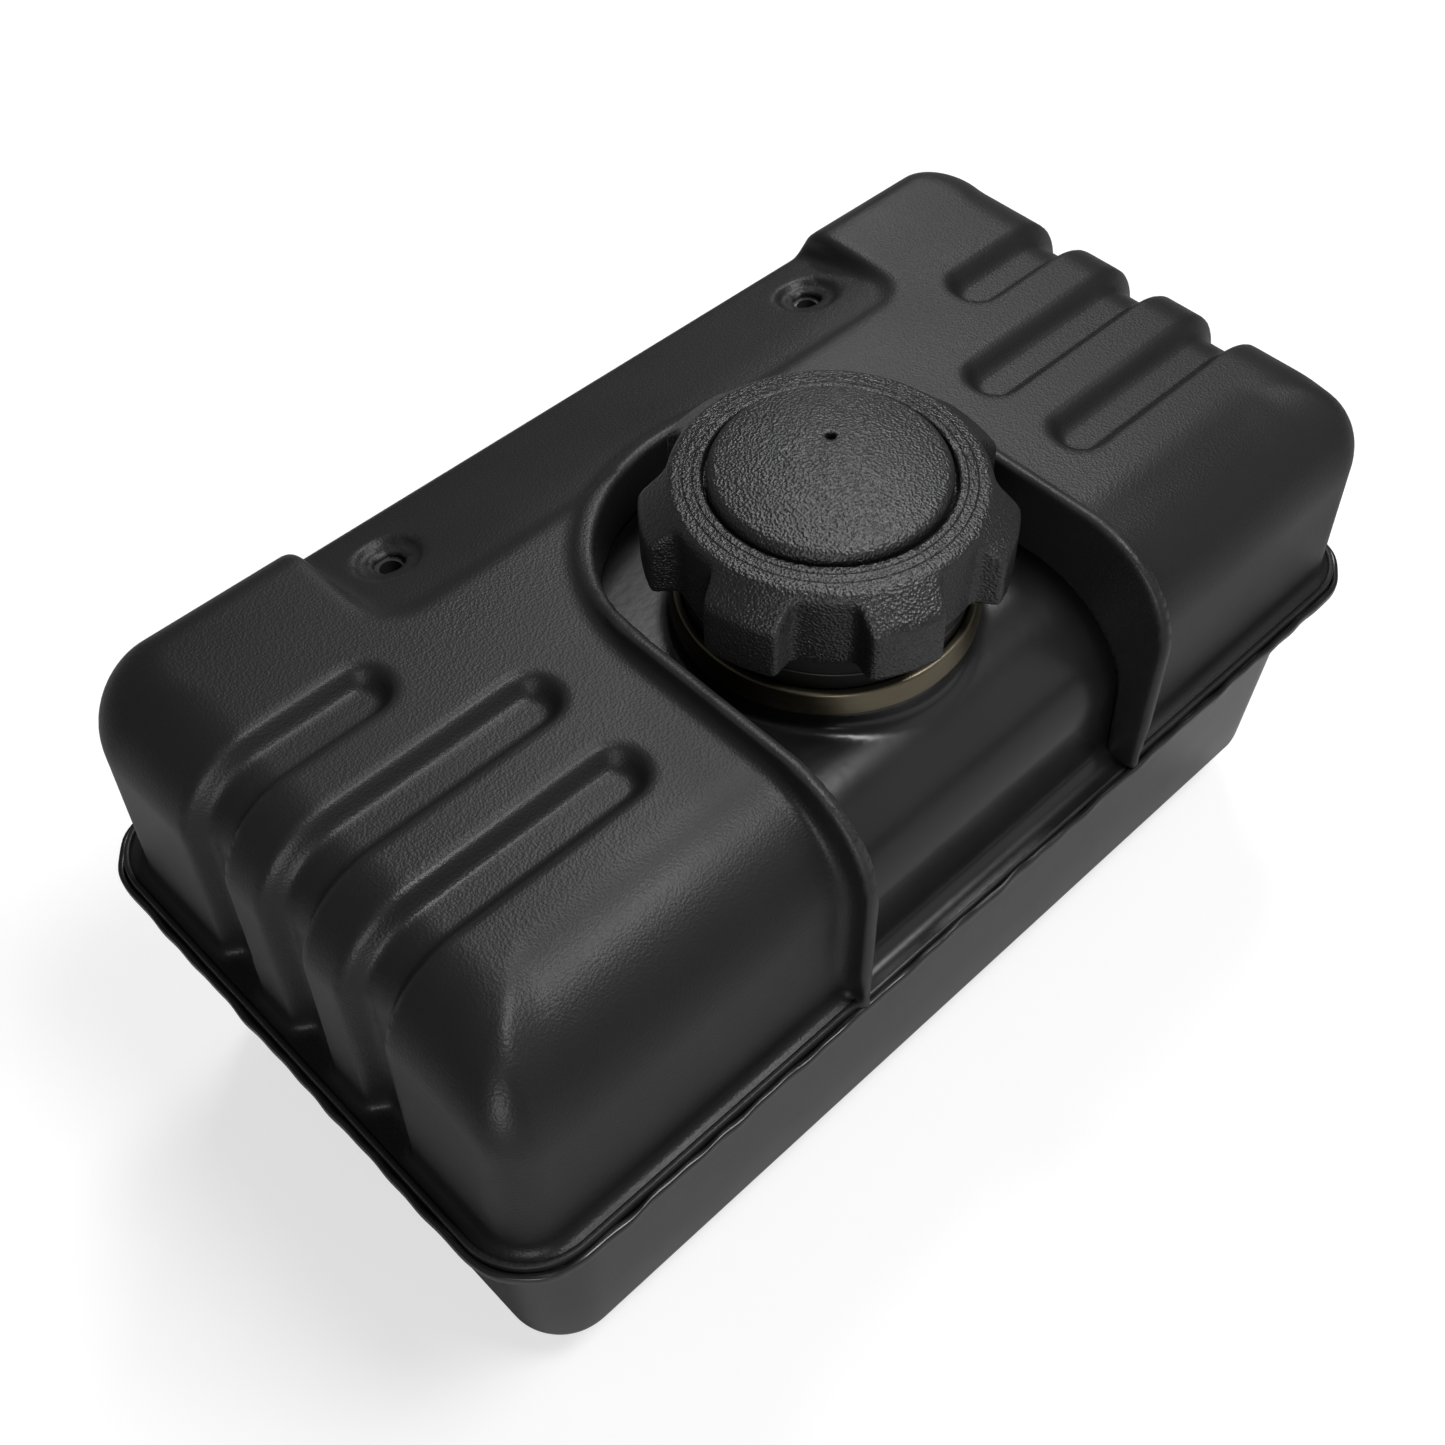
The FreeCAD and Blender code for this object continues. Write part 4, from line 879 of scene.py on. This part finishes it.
def mouldedPlastic(name, tint, light, rough, grainScale, bump, distance):
    # grained moulding between two near tones
    material, nodes, links = newMaterial(name)
    shader = nodes["Principled BSDF"]
    coords = nodes.new("ShaderNodeTexCoord")
    grain = nodes.new("ShaderNodeGroup")
    grain.node_tree = grainGroup
    grain.inputs["Grain Scale"].default_value = grainScale
    links.new(coords.outputs["Object"], grain.inputs["Vector"])
    ramp = nodes.new("ShaderNodeMix")
    ramp.data_type = "RGBA"
    ramp.inputs["A"].default_value = (*tint, 1)
    ramp.inputs["B"].default_value = (*light, 1)
    links.new(grain.outputs["Tone"], ramp.inputs["Factor"])
    links.new(ramp.outputs["Result"], shader.inputs["Base Color"])
    change = nodes.new("ShaderNodeMapRange")
    change.inputs["From Min"].default_value = 0.3
    change.inputs["From Max"].default_value = 0.7
    change.inputs["To Min"].default_value = rough - 0.05
    change.inputs["To Max"].default_value = rough + 0.05
    links.new(grain.outputs["Tone"], change.inputs["Value"])
    links.new(change.outputs["Result"], shader.inputs["Roughness"])
    relief = nodes.new("ShaderNodeBump")
    relief.inputs["Strength"].default_value = bump
    relief.inputs["Distance"].default_value = distance
    links.new(grain.outputs["Height"], relief.inputs["Height"])
    links.new(relief.outputs["Normal"], shader.inputs["Normal"])
    return material


def paintedSteel(name, tint, rough, peel):
    # paint with a slight orange peel
    material, nodes, links = newMaterial(name)
    shader = nodes["Principled BSDF"]
    coords = nodes.new("ShaderNodeTexCoord")
    wide = nodes.new("ShaderNodeTexNoise")
    wide.inputs["Scale"].default_value = 60.0
    wide.inputs["Detail"].default_value = 3.0
    links.new(coords.outputs["Object"], wide.inputs["Vector"])
    tone = nodes.new("ShaderNodeMix")
    tone.data_type = "RGBA"
    tone.inputs["A"].default_value = (*tint, 1)
    tone.inputs["B"].default_value = (*[c * 1.5 for c in tint], 1)
    links.new(wide.outputs["Fac"], tone.inputs["Factor"])
    links.new(tone.outputs["Result"], shader.inputs["Base Color"])
    change = nodes.new("ShaderNodeMapRange")
    change.inputs["To Min"].default_value = rough - 0.04
    change.inputs["To Max"].default_value = rough + 0.05
    links.new(wide.outputs["Fac"], change.inputs["Value"])
    links.new(change.outputs["Result"], shader.inputs["Roughness"])
    skin = nodes.new("ShaderNodeTexNoise")
    skin.inputs["Scale"].default_value = 420.0
    links.new(coords.outputs["Object"], skin.inputs["Vector"])
    relief = nodes.new("ShaderNodeBump")
    relief.inputs["Strength"].default_value = peel
    relief.inputs["Distance"].default_value = 0.0003
    links.new(skin.outputs["Fac"], relief.inputs["Height"])
    links.new(relief.outputs["Normal"], shader.inputs["Normal"])
    return material


def brushedMetal(name, tint, rough):
    # metal whose tone and gloss change in fine level streaks
    material, nodes, links = newMaterial(name)
    shader = nodes["Principled BSDF"]
    shader.inputs["Metallic"].default_value = 1.0
    coords = nodes.new("ShaderNodeTexCoord")
    stretch = nodes.new("ShaderNodeMapping")
    stretch.inputs["Scale"].default_value = (1.0, 1.0, 9.0)
    links.new(coords.outputs["Object"], stretch.inputs["Vector"])
    streak = nodes.new("ShaderNodeTexNoise")
    streak.inputs["Scale"].default_value = 160.0
    streak.inputs["Detail"].default_value = 4.0
    links.new(stretch.outputs["Vector"], streak.inputs["Vector"])
    tone = nodes.new("ShaderNodeMix")
    tone.data_type = "RGBA"
    tone.inputs["A"].default_value = (*[c * 0.8 for c in tint], 1)
    tone.inputs["B"].default_value = (*[min(1, c * 1.2) for c in tint], 1)
    links.new(streak.outputs["Fac"], tone.inputs["Factor"])
    links.new(tone.outputs["Result"], shader.inputs["Base Color"])
    change = nodes.new("ShaderNodeMapRange")
    change.inputs["To Min"].default_value = rough - 0.08
    change.inputs["To Max"].default_value = rough + 0.08
    links.new(streak.outputs["Fac"], change.inputs["Value"])
    links.new(change.outputs["Result"], shader.inputs["Roughness"])
    return material


coverTones = ((0.010, 0.010, 0.0105), (0.014, 0.014, 0.0145))
capTones = ((0.008, 0.008, 0.0085), (0.012, 0.012, 0.0125))
coverPlastic = mouldedPlastic("coverPlastic", *coverTones, 0.42, 1900.0, 0.3, 0.00018)
capPlastic = mouldedPlastic("capPlastic", *capTones, 0.33, 1700.0, 0.9, 0.00025)
softFoam = mouldedPlastic("softFoam", (0.03, 0.03, 0.032), (0.05, 0.05, 0.053), 0.9, 1500.0, 1.0, 0.0006)
sealRubber = mouldedPlastic("sealRubber", (0.02, 0.02, 0.02), (0.03, 0.03, 0.03), 0.7, 2000.0, 0.2, 0.0002)
palePlastic = mouldedPlastic("palePlastic", (0.62, 0.6, 0.52), (0.7, 0.68, 0.6), 0.45, 1800.0, 0.15, 0.0002)
steelPaint = paintedSteel("steelPaint", (0.010, 0.010, 0.0102), 0.25, 0.08)
neckPaint = paintedSteel("neckPaint", (0.014, 0.014, 0.014), 0.4, 0.2)
collarMetal = brushedMetal("collarMetal", (0.19, 0.165, 0.115), 0.4)
zincMetal = brushedMetal("zincMetal", (0.55, 0.55, 0.52), 0.35)
brassMetal = brushedMetal("brassMetal", (0.6, 0.43, 0.18), 0.35)
washerMetal = brushedMetal("washerMetal", (0.7, 0.7, 0.7), 0.4)

for material, gloss in ((coverPlastic, 0.38), (capPlastic, 0.72)):
    material.node_tree.nodes["Principled BSDF"].inputs["Specular IOR Level"].default_value = gloss
addCircles(capPlastic)
# lighter tints along standing edges below are painted highlights
addPaintedEdgeHighlight(capPlastic, (0.03, 0.03, 0.031))
addPaintedEdgeHighlight(coverPlastic, (0.045, 0.045, 0.047))
addPaintedEdgeHighlight(steelPaint, (0.05, 0.048, 0.046))
addPaintedEdgeHighlight(collarMetal, (0.2, 0.18, 0.14))

finishes = {
    "cover_post_left": steelPaint, "cover_post_right": steelPaint,
    "cover_pad_left": softFoam, "cover_pad_right": softFoam,
    "strainer_basket": palePlastic, "strainer_mesh": palePlastic,
    "cap_gasket": sealRubber, "cap_vent_cup": palePlastic, "cap_vent_foam": softFoam,
    "outlet_bush": zincMetal, "outlet_washer": washerMetal,
    "outlet_fitting": brassMetal, "outlet_screen": palePlastic,
    "mount_bracket_left": steelPaint, "mount_bracket_right": steelPaint, "mount_nuts": zincMetal,
}
for node, material in finishes.items():
    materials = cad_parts[node].data.materials
    materials.clear()
    materials.append(material)
for piece, material, slot in (
    (coverPiece, coverPlastic, "cover_plastic"), (lipPiece, coverPlastic, "cover_plastic"),
    (steelPiece, steelPaint, "black_steel"), (panPiece, steelPaint, "black_steel"),
    (capPiece, capPlastic, "cap_plastic"), (domePiece, capPlastic, "cap_plastic"),
    (collarPiece, collarMetal, "collar_steel"), (neckPiece, neckPaint, "black_steel"),
    (threadPiece, neckPaint, "black_steel"),
):
    piece.data.materials.clear()
    piece.data.materials.append(material)
print("materials")

# camera, from the fit to the photograph
view = {"place": (-0.1954, -0.1941, 0.4097), "yaw": 44.83, "pitch": 50.66, "roll": 0.386,
        "lens": 45.72, "sensor": 36.0, "shiftX": -0.0267, "shiftY": -0.0116, "near": 0.01, "far": 50.0}
yaw, pitch, roll = (math.radians(view[key]) for key in ("yaw", "pitch", "roll"))
forward = Vector((math.sin(yaw) * math.cos(pitch), math.cos(yaw) * math.cos(pitch), -math.sin(pitch)))
right = forward.cross(Vector((0, 0, 1))).normalized()
up = right.cross(forward)
right, up = (right * math.cos(roll) + up * math.sin(roll), up * math.cos(roll) - right * math.sin(roll))
cameraData = bpy.data.cameras.new("camera")
cameraData.lens = view["lens"]
cameraData.sensor_width = view["sensor"]
cameraData.shift_x = view["shiftX"]
cameraData.shift_y = view["shiftY"]
cameraData.clip_start = view["near"]
cameraData.clip_end = view["far"]
camera = bpy.data.objects.new("camera", cameraData)
scene.collection.objects.link(camera)
camera.matrix_world = Matrix((
    (right.x, up.x, -forward.x, view["place"][0]),
    (right.y, up.y, -forward.y, view["place"][1]),
    (right.z, up.z, -forward.z, view["place"][2]),
    (0, 0, 0, 1)))
scene.camera = camera

# pale floor that the camera sees as plain white, apart from a soft shadow
floorMesh = bpy.data.meshes.new("floor")
reach = 6.0
floorCorners = [(-reach, -reach, 0), (reach, -reach, 0), (reach, reach, 0), (-reach, reach, 0)]
floorMesh.from_pydata(floorCorners, [], [(0, 1, 2, 3)])
floorPiece = bpy.data.objects.new("floor", floorMesh)
scene.collection.objects.link(floorPiece)
floorMaterial, nodes, links = newMaterial("paleFloor")
shader = nodes["Principled BSDF"]
shader.inputs["Base Color"].default_value = (0.5, 0.5, 0.5, 1)
shader.inputs["Roughness"].default_value = 0.9
lift = nodes.new("ShaderNodeEmission")
lift.inputs["Strength"].default_value = 0.64
ray = nodes.new("ShaderNodeLightPath")
dim = nodes.new("ShaderNodeMixShader")
both = nodes.new("ShaderNodeAddShader")
links.new(shader.outputs[0], both.inputs[0])
links.new(lift.outputs[0], both.inputs[1])
links.new(ray.outputs["Is Camera Ray"], dim.inputs["Fac"])
links.new(shader.outputs[0], dim.inputs[1])
links.new(both.outputs[0], dim.inputs[2])
links.new(dim.outputs[0], nodes["Material Output"].inputs["Surface"])
floorMesh.materials.append(floorMaterial)

# dim white surroundings that the camera sees as plain white
world = bpy.data.worlds.new("studio")
scene.world = world
world.use_nodes = True
nodes, links = world.node_tree.nodes, world.node_tree.links
background = nodes["Background"]
background.inputs["Color"].default_value = (1, 1, 1, 1)
background.inputs["Strength"].default_value = 0.12
seen = nodes.new("ShaderNodeBackground")
seen.inputs["Strength"].default_value = 1.0
path = nodes.new("ShaderNodeLightPath")
choose = nodes.new("ShaderNodeMixShader")
links.new(path.outputs["Is Camera Ray"], choose.inputs["Fac"])
links.new(background.outputs[0], choose.inputs[1])
links.new(seen.outputs[0], choose.inputs[2])
links.new(choose.outputs[0], nodes["World Output"].inputs["Surface"])

# soft lamps, all turned to the middle of the tank
aim = Vector((0, 0, 0.09))
lamps = {
    "topLamp": {"place": (0.25, -0.47, 1.3), "size": 0.4, "watts": 9.0},
    "frontLamp": {"place": (0.9, -1.3, 0.75), "size": 1.1, "watts": 1.6},
    "cornerLamp": {"place": (-0.85, -0.85, 0.42), "size": 0.4, "watts": 3.8},
    "backLamp": {"place": (0.603, 0.459, 1.334), "size": 0.36, "watts": 7.0},
    "edgeLamp": {"place": (0.89, 0.83, 0.83), "size": 0.15, "watts": 1.0},
}
for name, lamp in lamps.items():
    data = bpy.data.lights.new(name, "AREA")
    data.size = lamp["size"]
    data.energy = lamp["watts"]
    item = bpy.data.objects.new(name, data)
    item.location = lamp["place"]
    item.rotation_euler = (aim - Vector(lamp["place"])).to_track_quat("-Z", "Y").to_euler()
    scene.collection.objects.link(item)
scene.view_settings.view_transform = "Standard"
print("stage")
